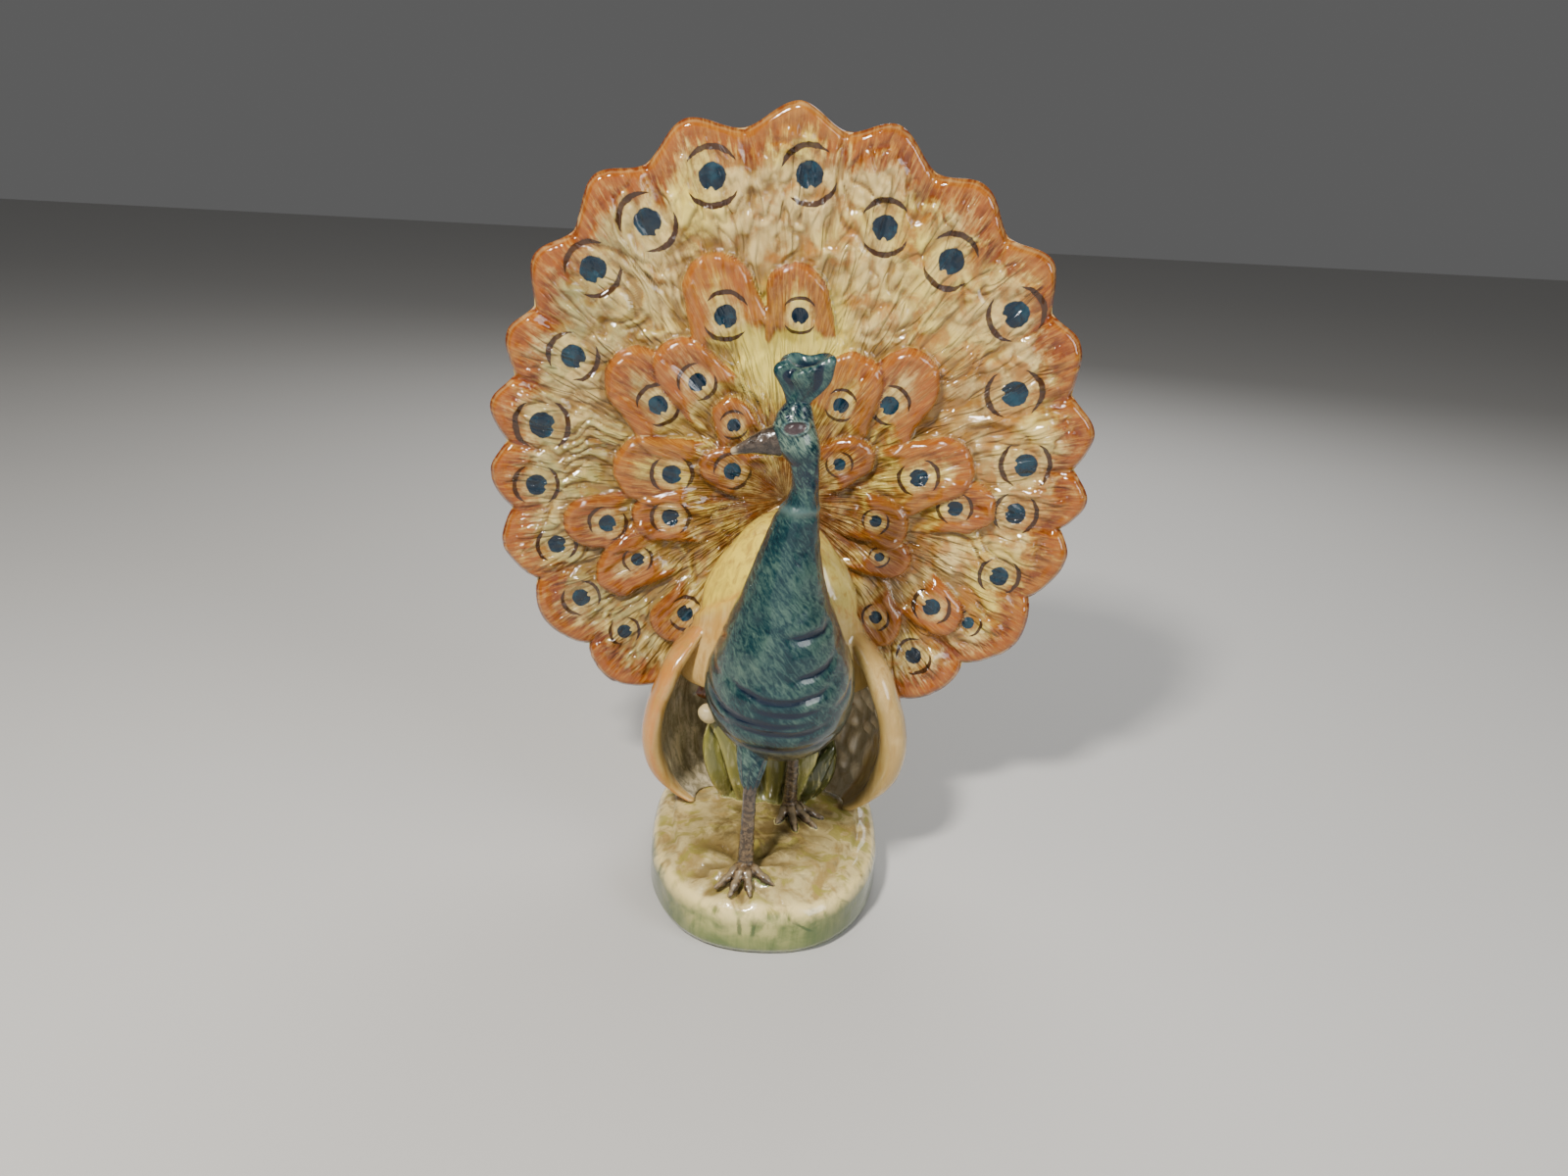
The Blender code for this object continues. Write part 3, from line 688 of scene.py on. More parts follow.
def make_body():
    """The pear of the breast and the neck, with the cuts and their strokes."""
    rings = ovals(BODY, 128, 108)
    angle, height = turn_and_height(rings)
    degrees = np.degrees(angle)
    depth, stroke = groove_field(degrees, height)
    lumps = 0.55 * rough(degrees / 26 + 2, height / 9, 31) + 0.15 * rough(degrees / 7, height / 3, 5)
    ring_line = 0.35 * bump(height, 129.5, 0.9) - 0.25 * bump(height, 127.3, 0.9)
    rings = swell(rings, lumps * step(36, 42, height) - depth + ring_line)
    collar = bump(height, 129.0, 1.6) * 0.9
    belly = step(50.5, 44.0, height + 2.2 * np.cos(np.radians(degrees)) * 0.6)
    marks = {"stroke": stroke, "wash": belly, "tint": collar}
    loft("breast", rings, "teal_glaze", marks)
    print("breast", rings.shape, "with", len(GROOVES), "curved cuts")


make_body()

# %% [markdown]
# Head, beak and crest
# The head slopes from the crown down into the beak. The eye is an oval with a
# raised lid all round, and the glaze pools dark inside it. The crest stands on the crown like a
# gathered ruffle: narrow at its foot, wide at its lip, with folds that deepen upwards.

# %% The head and its eyes
HEAD = (
    (141.5, 7.4, -35, 3.0, 3.4), (144, 7.0, -35, 4.6, 5.0), (147.5, 5.8, -35, 6.4, 6.4),
    (151.5, 4.4, -35, 7.3, 6.9), (155.5, 3.3, -35, 7.1, 6.3), (159.5, 3.3, -34.6, 5.8, 5.2),
    (163, 3.9, -34.2, 4.4, 4.0), (164.5, 4.2, -34, 3.0, 3.0),
)
EYE_PLACE = (3.6, 157.0)
EYE_SIZE = (3.3, 1.8)
EYE_LEAN_DEG = 9.0


def eye_distance(x, height):
    """Distance from the eye's middle over its half-size: 1 on its outline, a leaning oval."""
    lean = math.radians(EYE_LEAN_DEG)
    across, up = x - EYE_PLACE[0], height - EYE_PLACE[1]
    along = (across * math.cos(lean) + up * math.sin(lean)) / EYE_SIZE[0]
    over = (up * math.cos(lean) - across * math.sin(lean)) / EYE_SIZE[1]
    return np.hypot(along, over)


def make_head():
    """The head: level ovals with a raised lid round each eye, a brow and a dark eye within."""
    rings = ovals(HEAD, 70, 96)
    height = rings[..., 2] - MOUND_TOP
    away = eye_distance(rings[..., 0], height)
    lid = 0.85 * bump(away, 1.18, 0.22)
    ball = 0.35 * step(0.95, 0.2, away)
    brow = 0.5 * bump(height, 160.2, 1.2) * bump(rings[..., 0], 3, 5.5)
    cheek = 0.4 * bump(height, 149.0, 2.0) * bump(rings[..., 0], 4.5, 4.0)
    lumps = 0.15 * rough(rings[..., 0] / 3, height / 3, 3)
    rings = swell(rings, lid + ball - 0.25 * step(1.0, 0.8, away) + brow + cheek + lumps)
    throat = step(151.0, 145.5, height + 0.4 * rings[..., 0])
    marks = {"stroke": throat * 0.8, "wash": step(1.04, 0.92, away), "tint": 0.4 * bump(away, 1.2, 0.16),
             "shade": step(146, 152, height) * step(166, 160, height)}
    loft("head", rings, "teal_glaze", marks)
    print("head", rings.shape, "eye half-size", EYE_SIZE, "mm")


def make_beak():
    """The beak: a tapering oval tube, higher than wide, with a nostril and a line where it shuts."""
    route = np.array(((2.0, -35, 151.6), (-3.0, -35.3, 151.2), (-6.5, -35.7, 150.5),
                      (-9.5, -36.0, 149.7), (-13, -36.3, 148.5), (-16.6, -36.6, 147.2)))
    route[:, 2] += MOUND_TOP

    def relief(run, angle):
        """A shallow line along both sides below the middle, and fine lengthwise roughness."""
        shut = sum(bump(angle, middle, 0.16) for middle in (math.pi + 0.35, 2 * math.pi - 0.35))
        nostril = sum(bump(angle, middle, 0.22) * bump(run, 8.5, 1.1)
                      for middle in (math.pi * 0.80, math.pi * 0.20))
        return -0.28 * shut * step(2, 6, run) - 0.4 * nostril + 0.08 * noise(run, angle * 4, 9)

    def marks(run, angle):
        pale = step(15.5, 19.5, run)
        return {"shade": pale, "wash": 0.6 * bump(angle, math.pi + 0.35, 0.25)}

    tube("beak", route, (4.6, 4.2, 3.4, 2.5, 1.6, 0.8), "horn_glaze", 60, 40, relief, marks, 1.2)


# Height above the mound, middle x, half-width, half-depth, depth of the folds
CREST = (
    (158.5, 4.1, 3.6, 3.1, 0.0), (161.5, 4.1, 3.8, 3.2, 0.05), (164, 4.2, 4.1, 3.1, 0.2),
    (167, 5.2, 6.0, 3.2, 0.7), (170.5, 5.8, 8.2, 3.5, 1.2), (174, 5.5, 9.4, 3.7, 1.4),
    (176.4, 6.1, 9.2, 3.4, 1.3), (177.6, 6.9, 7.6, 2.6, 0.9),
)
CREST_FOLDS = 5


def make_crest():
    """The crest: ovals whose depth and width are folded by a cosine, with a hollow top."""
    sides = 120
    height, x, width, depth, fold = (column[:, None] for column in curve(CREST, 48).T)
    angle = turns(sides)
    wave = np.cos(CREST_FOLDS * angle + 0.6 * np.sin(angle + 0.6) + 0.25 * np.sin(height / 2.5))
    wave = np.sign(wave) * abs(wave) ** 0.7
    open_up = step(167, 177, height)
    fold = fold * (1 + 0.3 * noise(angle * 2, height / 5, 5))
    hang = 1.7 * np.cos(angle) + 0.9 * np.cos(2 * angle + 0.7) - 1.1 * np.sin(angle)
    rings = np.stack((x + width * np.sin(angle) * (1 + 0.05 * fold * wave),
                      -34.0 - (depth + fold * 0.75 * wave + 1.2 * open_up) * np.cos(angle),
                      MOUND_TOP + height - hang * open_up + 0.3 * wave * open_up), -1)
    lips = []
    for inward, drop in ((0.84, -0.1), (0.68, 0.9), (0.45, 1.8), (0.20, 2.3)):
        middle = rings[-1].mean(0)
        ring = middle + (rings[-1] - middle) * inward
        ring[:, 2] -= drop
        lips.append(ring)
    rings = np.concatenate((rings, np.array(lips)))
    folds = np.concatenate((-wave * fold / 1.3, ((0.1,), (0.4,), (0.7,), (0.8,)) + np.zeros((4, sides))))
    high = rings[..., 2] - MOUND_TOP
    marks = {"stroke": 0.9 * step(0.0, 1.2, folds) * step(163, 169, high),
             "tint": bump(high, 177.2, 0.8) * 0.35}
    loft("crest", rings, "teal_glaze", marks)
    print("crest", rings.shape, "with", CREST_FOLDS, "folds")


make_head()
make_beak()
make_crest()

# %% [markdown]
# Mantle, rump and wings
# Behind the neck a plain cape covers the back and runs out into two drooping wings. Each wing is
# a plate, curved like a C and open to the front, so that its dark inside shows. The outside is
# smooth with a rolled lip. The inside is cut into feathers: long vertical strokes on the bird's
# right, and small round tips on its left. Behind the train only a plain rump closes the form.

# %% The cape and the rump
SPINE_X = 1.3
# Height above the mound, half-width, front y
MANTLE = (
    (46, 30, -4), (47, 37, -9), (53, 38, -11), (61, 35.5, -11), (71, 31.5, -9), (83, 30, -5),
    (93, 25, -1), (101, 18, 3), (106.5, 11, 8), (109, 5, 12),
)
MANTLE_REAR = 31.0
# Height above the mound, half-width, front y, rear y
RUMP = (
    (34, 8, 26, 34), (36, 15, 20, 40), (44, 24, 16, 46), (56, 28.5, 16, 51), (70, 27, 18, 52),
    (84, 21.5, 22, 50), (97, 14, 28, 46), (106, 7, 33, 42), (108.5, 3.5, 35, 40),
)


def make_mantle():
    """The cape, with a slanted lip on each side where the wing's shoulder lies over it."""
    rows = [(h, SPINE_X, (MANTLE_REAR + front) / 2, half, (MANTLE_REAR - front) / 2)
            for h, half, front in MANTLE]
    rings = ovals(rows, 56, 84)
    angle, height = turn_and_height(rings)
    seam = 73 + 17 * np.clip(1.5 - abs(angle), -1, 1)
    above = step(-0.9, 0.9, height - seam)
    lip = 0.8 * bump(height - seam, -1.8, 1.3)
    lumps = 0.5 * rough(angle * 2.5, height / 11, 41)
    rings = swell(rings, lip - 1.5 * above * step(108, 96, height) + lumps)
    shade = 0.3 * rough(angle * 2, height / 14, 2)
    loft("cape", rings, "wing_glaze", {"tint": step(-7, 5, height - seam) * step(50, 56, height),
                                       "shade": shade,
                                       "wash": 0.8 * bump(height - seam, -0.2, 0.8)})


def make_rump():
    """The plain bulge behind the train."""
    rows = [(h, SPINE_X, (rear + front) / 2, half, (rear - front) / 2) for h, half, front, rear in RUMP]
    rings = ovals(rows, 44, 72)
    rings = swell(rings, 0.5 * rough(rings[..., 0] / 9, rings[..., 2] / 10, 77))
    loft("rump", rings, "wing_glaze", {"shade": 0.4 * noise(rings[..., 0] / 9, rings[..., 2] / 12, 6)})


make_mantle()
make_rump()
print("cape", len(MANTLE), "rows, rump", len(RUMP), "rows")

# %% The wings
# Height above the mound, outermost x, foremost y, rear y, inner x
WING = (
    (71, 27, 2, 31, 15), (64, 33, -4.5, 31, 17), (57, 38, -9.5, 31, 18), (50, 41, -12.5, 32, 18),
    (40, 44.6, -13.5, 32, 18), (30, 46, -14, 30, 19), (20, 45.2, -12.5, 27, 20),
    (10, 42, -9.5, 23, 21), (3, 37, -6.5, 17, 21), (-1.5, 31, -5, 9, 22),
)
WING_ARC_DEG = 112.0
WING_THICKNESS = 6.2
WING_LIP = 8.5


def make_wing(name, side, knobbly):
    """One wing: two facing grids round a C-shaped arc, with rolled lip and feathered inside.

    At share t along the arc, the turn is t times the arc. The point is inner + (outer - inner)
    sin(turn) across and rear - depth (1 - cos(turn)) forward, moved half the thickness each way.
    """
    rows, steps = 88, 60
    table = curve(WING, rows)[:, :, None]
    height, outer, front, rear, inner = (table[:, k] for k in range(5))
    t = np.linspace(0, 1, steps)[None, :] ** 0.9
    arc = math.radians(WING_ARC_DEG)
    turn = arc * t
    deep = (rear - front) / (1 - math.cos(arc))
    taper = np.minimum(np.minimum(1, 0.45 + (height + 2) / 30), (80 - height) / 20)
    thick = (WING_THICKNESS + (WING_LIP - WING_THICKNESS) * t**3) * taper / 2
    if knobbly:
        thick = thick * (1 + 0.35 * step(0.55, 0.9, t))
    thick = thick * np.sqrt(np.clip(1 - (np.maximum(t - 0.87, 0) / 0.133) ** 2, 0.03, 1))
    nx, ny = deep * np.sin(turn), (outer - inner) * np.cos(turn)
    size = np.hypot(nx, ny)
    x = inner + (outer - inner) * np.sin(turn)
    y = rear - deep * (1 - np.cos(turn))
    outside = 0.30 * rough(t * 5, height / 12, 51)
    outside = outside + 0.35 * np.sin(height / 3.4 + 3 * t) * bump(t, 0.35, 0.3)
    if knobbly:
        row = height / 7.6 + 0.5 * noise(t * 4, height / 11, 4) + t
        down = row - np.floor(row)
        across = np.cos(t * 19 + 1.57 * (np.floor(row) % 2) + 0.9 * noise(t * 6, height / 8, 2))
        feathers = 3.0 * across**2 * np.sin(math.pi * down) - 0.9 + 0.4 * rough(t * 14, height / 4, 9)
    else:
        wavy = t * 24 + 2.6 * noise(t * 5, height / 12, 12)
        feathers = 0.7 * np.sin(wavy) * (0.6 + 0.4 * np.sin(height / 5.0)) + rough(t * 8, height / 6, 15)
    edge, blend = (0.84 - 0.20 * step(45, 8, height), 0.26) if knobbly else (0.93, 0.15)
    inner_zone = step(0, 1, (edge - t) / blend)
    inside = feathers * inner_zone * step(-1, 6, height) * 0.8
    grids = []
    for face, relief in ((1, outside * step(-1, 8, height)), (-1, inside)):
        move = face * thick + (relief if face > 0 else -relief)
        grids.append(np.stack((SPINE_X + side * (x + move * nx / size), y + move * ny / size,
                               MOUND_TOP + height + 0 * t), -1))
    warm = step(0.55, 1.0, t) if side < 0 else 0.15 * step(0.6, 1.0, t)
    outer_marks = {"shade": 0.4 * rough(t * 4, height / 14, 8), "wash": warm}
    hollow = np.clip(0.5 - feathers, 0, 1.2)
    # The wash pools in the hollows between the feathers; the lowest few millimetres, where the wing meets the
    # mound, are darkened as painted shade
    inner_marks = {"stroke": inner_zone, "wash": np.maximum(hollow, step(9, 1, height)) * inner_zone,
                   "shade": 1.0 if knobbly else -1.0}
    plate(name, grids[0], grids[1], "wing_glaze", outer_marks, inner_marks)
    print(name, rows, "by", steps, "points a side")


make_wing("wing_right", -1, False)
make_wing("wing_left", 1, True)

# %% [markdown]
# Legs and feet
# The front leg is a feathered thigh in the breast's teal that ends above a thin scaly shank.
# The rear leg stands in the shadow of the belly. The toes are tubes laid over the mound, with
# knuckles and claws, pressed into the clay. Their tops carry a painted highlight and their undersides painted
# shade.

# %% Legs and toes
BASE_WIDTH = 88.0
BASE_DEPTH = 126.0
BASE_RIM_DROP = 6.5
BASE_SQUARENESS = 2.35
BASE_DOME = 2.2


def mound_height(x, y):
    """The mound's top: it falls with the distance over the plan, to the power of its dome.

    The distance is (|x / half-width|^n + |y / half-depth|^n)^(1/n), where n is the squareness.
    """
    powers = abs(x / (BASE_WIDTH / 2)) ** BASE_SQUARENESS + abs(y / (BASE_DEPTH / 2)) ** BASE_SQUARENESS
    share = np.clip(powers ** (1 / BASE_SQUARENESS), 0, 1)
    return MOUND_TOP - BASE_RIM_DROP * share**BASE_DOME


def scales(run, angle):
    """Rings of small scales on a shank: a saw of 1.6 mm along it, broken up round it."""
    saw = (run / 1.6 + 0.35 * np.sin(3 * angle)) % 1.0
    return 0.22 * (1 - saw) * step(12, 20, run) + 0.1 * noise(run, angle * 3, 2)


def plumes(run, angle):
    """Nine ribs that wind along the thigh and begin below the hip."""
    return 0.35 * np.sin(9 * angle + run * 0.3) * step(4, 12, run)


def plume_marks(run, angle):
    """Attributes of the thigh: dark strokes along the crests of its ribs."""
    return {"stroke": 0.6 * step(0.5, 1, np.sin(9 * angle + run * 0.3)) * step(6, 14, run), "shade": 0.4}


def make_leg(name, hip, knee, ankle, thigh_paint):
    """A thigh that tapers into a shank, and its foot's ball on the mound."""
    ground = float(mound_height(np.array(ankle[0]), np.array(ankle[1])))
    hip, knee = (np.array(p, float) + (0, 0, MOUND_TOP) for p in (hip, knee))
    foot = np.array((ankle[0], ankle[1], ground - 1.5))
    route = np.array((hip, hip * 0.45 + knee * 0.55, knee, knee * 0.5 + foot * 0.5, foot))

    def marks(run, angle):
        return {"wash": bump(run % 1.6, 0.0, 0.4), "shade": 0.3 * noise(run / 2, angle, 6)}

    tube(name, route, (4.4, 3.4, 2.3, 2.4, 3.2), "horn_glaze", 90, 28, scales, marks)
    if thigh_paint:
        upper = np.array((hip, hip * 0.5 + knee * 0.5, hip * 0.12 + knee * 0.88, knee + (0, 0, -3.0)))
        tube(name + "_feathers", upper, (6.8, 5.4, 3.7, 2.3), "teal_glaze", 40, 48, plumes, plume_marks)


def make_toes(name, x, y, spread):
    """The toes of one foot: tubes along the ground, raised at their knuckles, thin at their claws."""
    for number, (degrees, length) in enumerate(spread):
        turn = math.radians(degrees)
        along = np.linspace(0, 1, 6)
        px, py = x + length * along * math.sin(turn), y - length * along * math.cos(turn)
        rise = 2.4 * (1 - along) ** 1.5 + 0.4 * np.sin(along * math.pi * 1.4)
        route = np.column_stack((px, py, mound_height(px, py) + rise))
        radii = (3.4, 2.7, 2.0, 1.6, 1.3, 0.5)
        # Each toe's top is painted pale as a painted highlight, and its underside dark as painted shade
        # against the ground
        tube(f"{name}_toe_{number}", route, radii, "horn_glaze", 38, 18,
             lambda run, angle: 0.14 * np.cos(run * 1.4) + 0.2 * noise(run, angle * 2, 7),
             lambda run, angle: {"shade": 0.45 * step(0.45, 0.95, np.sin(angle)) * step(1, 5, run),
                                 "wash": 0.8 * step(0.5, -0.1, np.sin(angle))})


make_leg("leg_right", (-5, -36, 46), (-5.5, -43.5, 31), (-6, -46.5), True)
make_leg("leg_left", (9, -14, 44), (9.5, -12, 26), (9, -9), False)
make_toes("right", -6, -46.5, ((-52, 13), (-22, 13), (12, 12), (62, 12)))
make_toes("left", 9, -9, ((-25, 11), (12, 14), (48, 15), (80, 14)))
print("legs and toes on ground", float(mound_height(np.array(-6.0), np.array(-46.5)).round(2)), "mm high")

# %% [markdown]
# The tuft of plants
# A ribbed stem of leaves carries the belly's weight down to the mound. Single blades lean out
# towards the wings, and one on the bird's right ends in a round cream bud.

# %% Tuft, blades and bud
# Height above the mound, half-width, half-depth
TUFT = ((-3.2, 16, 14), (-2.5, 21, 19), (6, 17, 16), (18, 15, 15), (32, 16, 17), (46, 18, 18), (49, 14, 14))
BLADES = (
    ((-9, -2, -2), (-11, -7, 12), (-15, -7, 25), (-23, -3, 36)),
    ((-15, 1, -2), (-19, -3, 10), (-22, -1, 22), (-21, 4, 34)),
    ((-6, -3, -2), (-8, -7, 10), (-8, -7, 20), (-6, -2, 32)),
    ((2, -3, -2), (3, -5, 12), (2, -4, 24), (1, 0, 36)),
    ((13, -1, -2), (16, -6, 8), (20, -6, 17), (25, -3, 25)),
    ((17, 3, -2), (22, -1, 12), (22, 1, 24), (17, 4, 38)),
    ((10, -3, -2), (12, -8, 14), (15, -9, 22), (18, -7, 30)),
)
BLADE_TONES = (0.9, 0.4, 0.6, 0.8, -0.9, -0.4, 0.7)


def make_tuft():
    """The stem: level ovals with leaf-like ribs that wind a little as they rise."""
    rows = [(h, 0, 13, width, depth) for h, width, depth in TUFT]
    rings = ovals(rows, 66, 120)
    angle, height = turn_and_height(rings)
    ribs = np.sin(9 * angle + 0.05 * height + 1.2 * noise(angle * 2, height / 9, 3))
    leafy = 1.4 * ribs + 0.7 * np.sin(24 * angle + height * 0.35) + 0.8 * rough(angle * 6, height / 5, 19)
    rings = swell(rings, leafy * step(-1, 3, height) * step(48, 40, height))
    marks = {"wash": np.clip(0.4 - 0.5 * ribs, 0, 1), "shade": -0.5 * step(-0.2, 0.6, angle) + 0.3}
    loft("tuft", rings, "leaf_glaze", marks)


def make_blades():
    """Single leaves: flattened tubes with a middle rib, and a bud at the first one's tip."""
    for number, route in enumerate(BLADES):
        route = np.array(route, float) + (0, 0, MOUND_TOP)
        tube(f"blade_{number}", route, (1.8, 3.3, 3.0, 1.1), "leaf_glaze", 36, 20,
             lambda run, angle: 0.5 * abs(np.cos(angle)) ** 6 - 0.25 * abs(np.sin(5 * angle)),
             lambda run, angle, tone=BLADE_TONES[number]: {
                 "shade": tone, "wash": bump(abs(np.sin(angle)), 1, 0.3)}, 0.6)
    bud = np.array(((-21, -5, 34.5), (-23.5, -6, 38), (-25, -6.5, 41.5))) + (0, 0, MOUND_TOP)
    tube("bud", bud, (2.4, 3.6, 2.6), "leaf_glaze", 26, 28, None, lambda run, angle: {"tint": 1.0})


make_tuft()
make_blades()
print("tuft with", len(BLADES), "blades and a bud")

# %% [markdown]
# The mound
# A thick oval pad of clay with an upright side. Its top is worked into low roots and furrows that
# run out from the feet, and its rim is rounded and carries a pale painted highlight. The underside is flat.

# %% The mound's skin
BASE_ROUNDING = 8.0


def make_mound():
    """The mound: rings of a squared oval, from a flat underside up its side and over the top.

    A ring at share s has x = s * half-width * sign(sin a) |sin a|^p and likewise y with the
    cosine, where p is 2 over the squareness.
    """
    rim = MOUND_TOP - BASE_RIM_DROP
    inset = BASE_ROUNDING / (BASE_WIDTH / 2)
    quarter = np.linspace(0, math.pi / 2, 14)[1:]
    shares = [0.3, 0.6, 0.88, 1 - inset * 0.30, 1 - inset * 0.09, 1.0]
    heights = [0.0, 0.0, 0.0, 0.0, BASE_ROUNDING * 0.14, BASE_ROUNDING * 0.40]
    side = np.linspace(BASE_ROUNDING * 0.55, rim - BASE_ROUNDING, 12)
    shares += [1.0] * len(side) + list(1 - inset * (1 - np.cos(quarter)))
    heights += list(side) + list(rim - BASE_ROUNDING * (1 - np.sin(quarter)))
    top = np.linspace(1 - inset, 0.02, 42)[1:]
    shares += list(top)
    heights += list(MOUND_TOP - BASE_RIM_DROP * top**BASE_DOME)
    share, height = np.array(shares)[:, None], np.array(heights)[:, None]
    angle = turns(168)
    power = 2 / BASE_SQUARENESS
    s, c = np.sin(angle), np.cos(angle)
    x = np.sign(s) * abs(s) ** power * BASE_WIDTH / 2 * share
    y = -np.sign(c) * abs(c) ** power * BASE_DEPTH / 2 * share
    on_top = (height > rim - BASE_ROUNDING * 0.6).astype(float) * step(1.0, 0.9, share)
    from_foot = np.hypot(x + 6, y + 44)
    furrow = np.sin(np.arctan2(x + 6, y + 44) * 9 + 2.4 * noise(x / 12, y / 12, 3))
    roots = furrow * step(34, 10, from_foot) * step(3, 9, from_foot)
    lumps = 1.2 * rough(x / 14 + 5, y / 14, 61) + 0.35 * rough(x / 5, y / 5, 63)
    relief = (roots + lumps) * on_top
    dents = 0.45 * rough(angle * 4.5, height / 12, 71) * (share > 0.97) * step(1, 5, height)
    rings = np.stack((x * (1 - dents / 44), y * (1 - dents / 60), height + relief), -1)
    hollow = np.clip(-relief / 1.2, 0, 1)
    marks = {"wash": hollow, "tint": on_top, "shade": step(0, rim, height),
             "stroke": step(46, 12, np.hypot(x + 2, y + 24)) * on_top}
    loft("mound", rings, "mound_glaze", marks)
    print("mound", rings.shape, "rim", rim, "mm high")


make_mound()

# %% [markdown]
# One casting
# A mould gives one skin, so the bird, its plants and its mound become one closed piece here. The
# train and the rump become a second one, which keeps each piece light enough to open quickly. The
# two overlap inside the clay behind the cape. A union can leave two faces back to back, and such
# a pair is taken out. Every meeting line is softened, as slip and glaze fill a corner: the points
# near it move towards the mean of their neighbours.

# %% Joining all forms, and softening the meeting lines


def join_all(name, ordered):
    """The union of some skins, as one object with every attribute kept."""
    host = ordered[0]
    for piece in ordered[1:]:
        cut = host.modifiers.new("union", "BOOLEAN")
        cut.operation = "UNION"
        cut.solver = "MANIFOLD"
        cut.material_mode = "TRANSFER"
        cut.object = piece
    graph = bpy.context.evaluated_depsgraph_get()
    mesh = bpy.data.meshes.new_from_object(host.evaluated_get(graph), preserve_all_data_layers=True,
                                           depsgraph=graph)
    for piece in ordered:
        bpy.data.objects.remove(piece)
    mesh.name = name
    joined = bpy.data.objects.new(name, mesh)
    bpy.context.scene.collection.objects.link(joined)
    return joined


def drop_twins(mesh):
    """Delete faces that hold the same points as another face, since the pair encloses nothing.

    Two faces are twins when their points' numbers have the same sum, squares' sum and cubes' sum.
    """
    corners = np.empty(len(mesh.loops), np.int32)
    mesh.loops.foreach_get("vertex_index", corners)
    starts = np.empty(len(mesh.polygons), np.int32)
    mesh.polygons.foreach_get("loop_start", starts)
    sums = [np.add.reduceat(corners.astype(np.int64) ** power, starts) for power in (1, 2, 3)]
    _, group, count = np.unique(np.stack(sums, -1), axis=0, return_inverse=True, return_counts=True)
    twins = np.flatnonzero(count[group.ravel()] > 1)
    shape = bmesh.new()
    shape.from_mesh(mesh)
    shape.faces.ensure_lookup_table()
    bmesh.ops.delete(shape, geom=[shape.faces[number] for number in twins], context="FACES")
    shape.to_mesh(mesh)
    shape.free()
    print(mesh.name, "lost", len(twins), "faces that lay back to back")


def edge_pairs(mesh):
    """Vertex pairs of all edges, and a mask of the edges where two forms meet."""
    edges = np.empty(len(mesh.edges) * 2, np.int32)
    mesh.edges.foreach_get("vertices", edges)
    loop_edge = np.empty(len(mesh.loops), np.int32)
    mesh.loops.foreach_get("edge_index", loop_edge)
    sizes = np.empty(len(mesh.polygons), np.int32)
    mesh.polygons.foreach_get("loop_total", sizes)
    part = np.empty(len(mesh.polygons), np.int32)
    mesh.attributes["part"].data.foreach_get("value", part)
    owner = np.repeat(part, sizes)
    low = np.full(len(mesh.edges), 1 << 30)
    high = np.full(len(mesh.edges), -1)
    np.minimum.at(low, loop_edge, owner)
    np.maximum.at(high, loop_edge, owner)
    return edges.reshape(-1, 2), low != high


def neighbour_mean(values, pairs, count):
    """Each vertex's mean over its neighbours: sums along the edges over the number of edges."""
    total = np.zeros_like(values)
    for k in range(values.shape[1]):
        total[:, k] = (np.bincount(pairs[:, 0], values[pairs[:, 1], k], count)
                       + np.bincount(pairs[:, 1], values[pairs[:, 0], k], count))
    degree = np.bincount(pairs.ravel(), minlength=count)
    return total / np.maximum(degree, 1)[:, None]


def soften(made, rounds):
    """Relax the points within three edges of a meeting line, the nearest ones the most."""
    mesh = made.data
    count = len(mesh.vertices)
    pairs, seam = edge_pairs(mesh)
    weight = np.zeros(count)
    weight[pairs[seam].ravel()] = 1.0
    for share in (0.6, 0.3):
        spread = np.maximum(weight[pairs[:, 0]], weight[pairs[:, 1]]) > share + 0.01
        near = np.unique(pairs[spread].ravel())
        weight[near] = np.maximum(weight[near], share)
    points = np.empty(count * 3, np.float32)
    mesh.vertices.foreach_get("co", points)
    points = points.reshape(-1, 3).astype(float)
    for _ in range(rounds):
        points += (neighbour_mean(points, pairs, count) - points) * (0.5 * weight[:, None])
    points[:, 2] = np.maximum(points[:, 2], 0)
    mesh.vertices.foreach_set("co", points.astype(np.float32).ravel())
    mesh.update()
    print("softened", int((weight > 0).sum()), "of", count, "points near", int(seam.sum()), "seam edges")


behind = [piece for piece in PIECES if piece.name in ("train", "rump")]
train = join_all("peacock_train_skin", behind)
bird = join_all("peacock_bird_skin", [piece for piece in PIECES if piece not in behind])
drop_twins(train.data)
drop_twins(bird.data)
soften(train, 5)
soften(bird, 7)
for made in (train, bird):
    made.data.calc_loop_triangles()
    print(made.name, len(made.data.loop_triangles), "triangles with", len(made.data.materials), "glazes")

# %% [markdown]
# A small language for glazes
# A glaze is arithmetic on places and attributes. Written as expressions, it stays readable, so one
# class wraps a socket and turns the operators into Math nodes. Colours go through Mix nodes and
# places through Vector Math nodes, because a Math node would make them grey.

# %% Sockets that can be added and multiplied


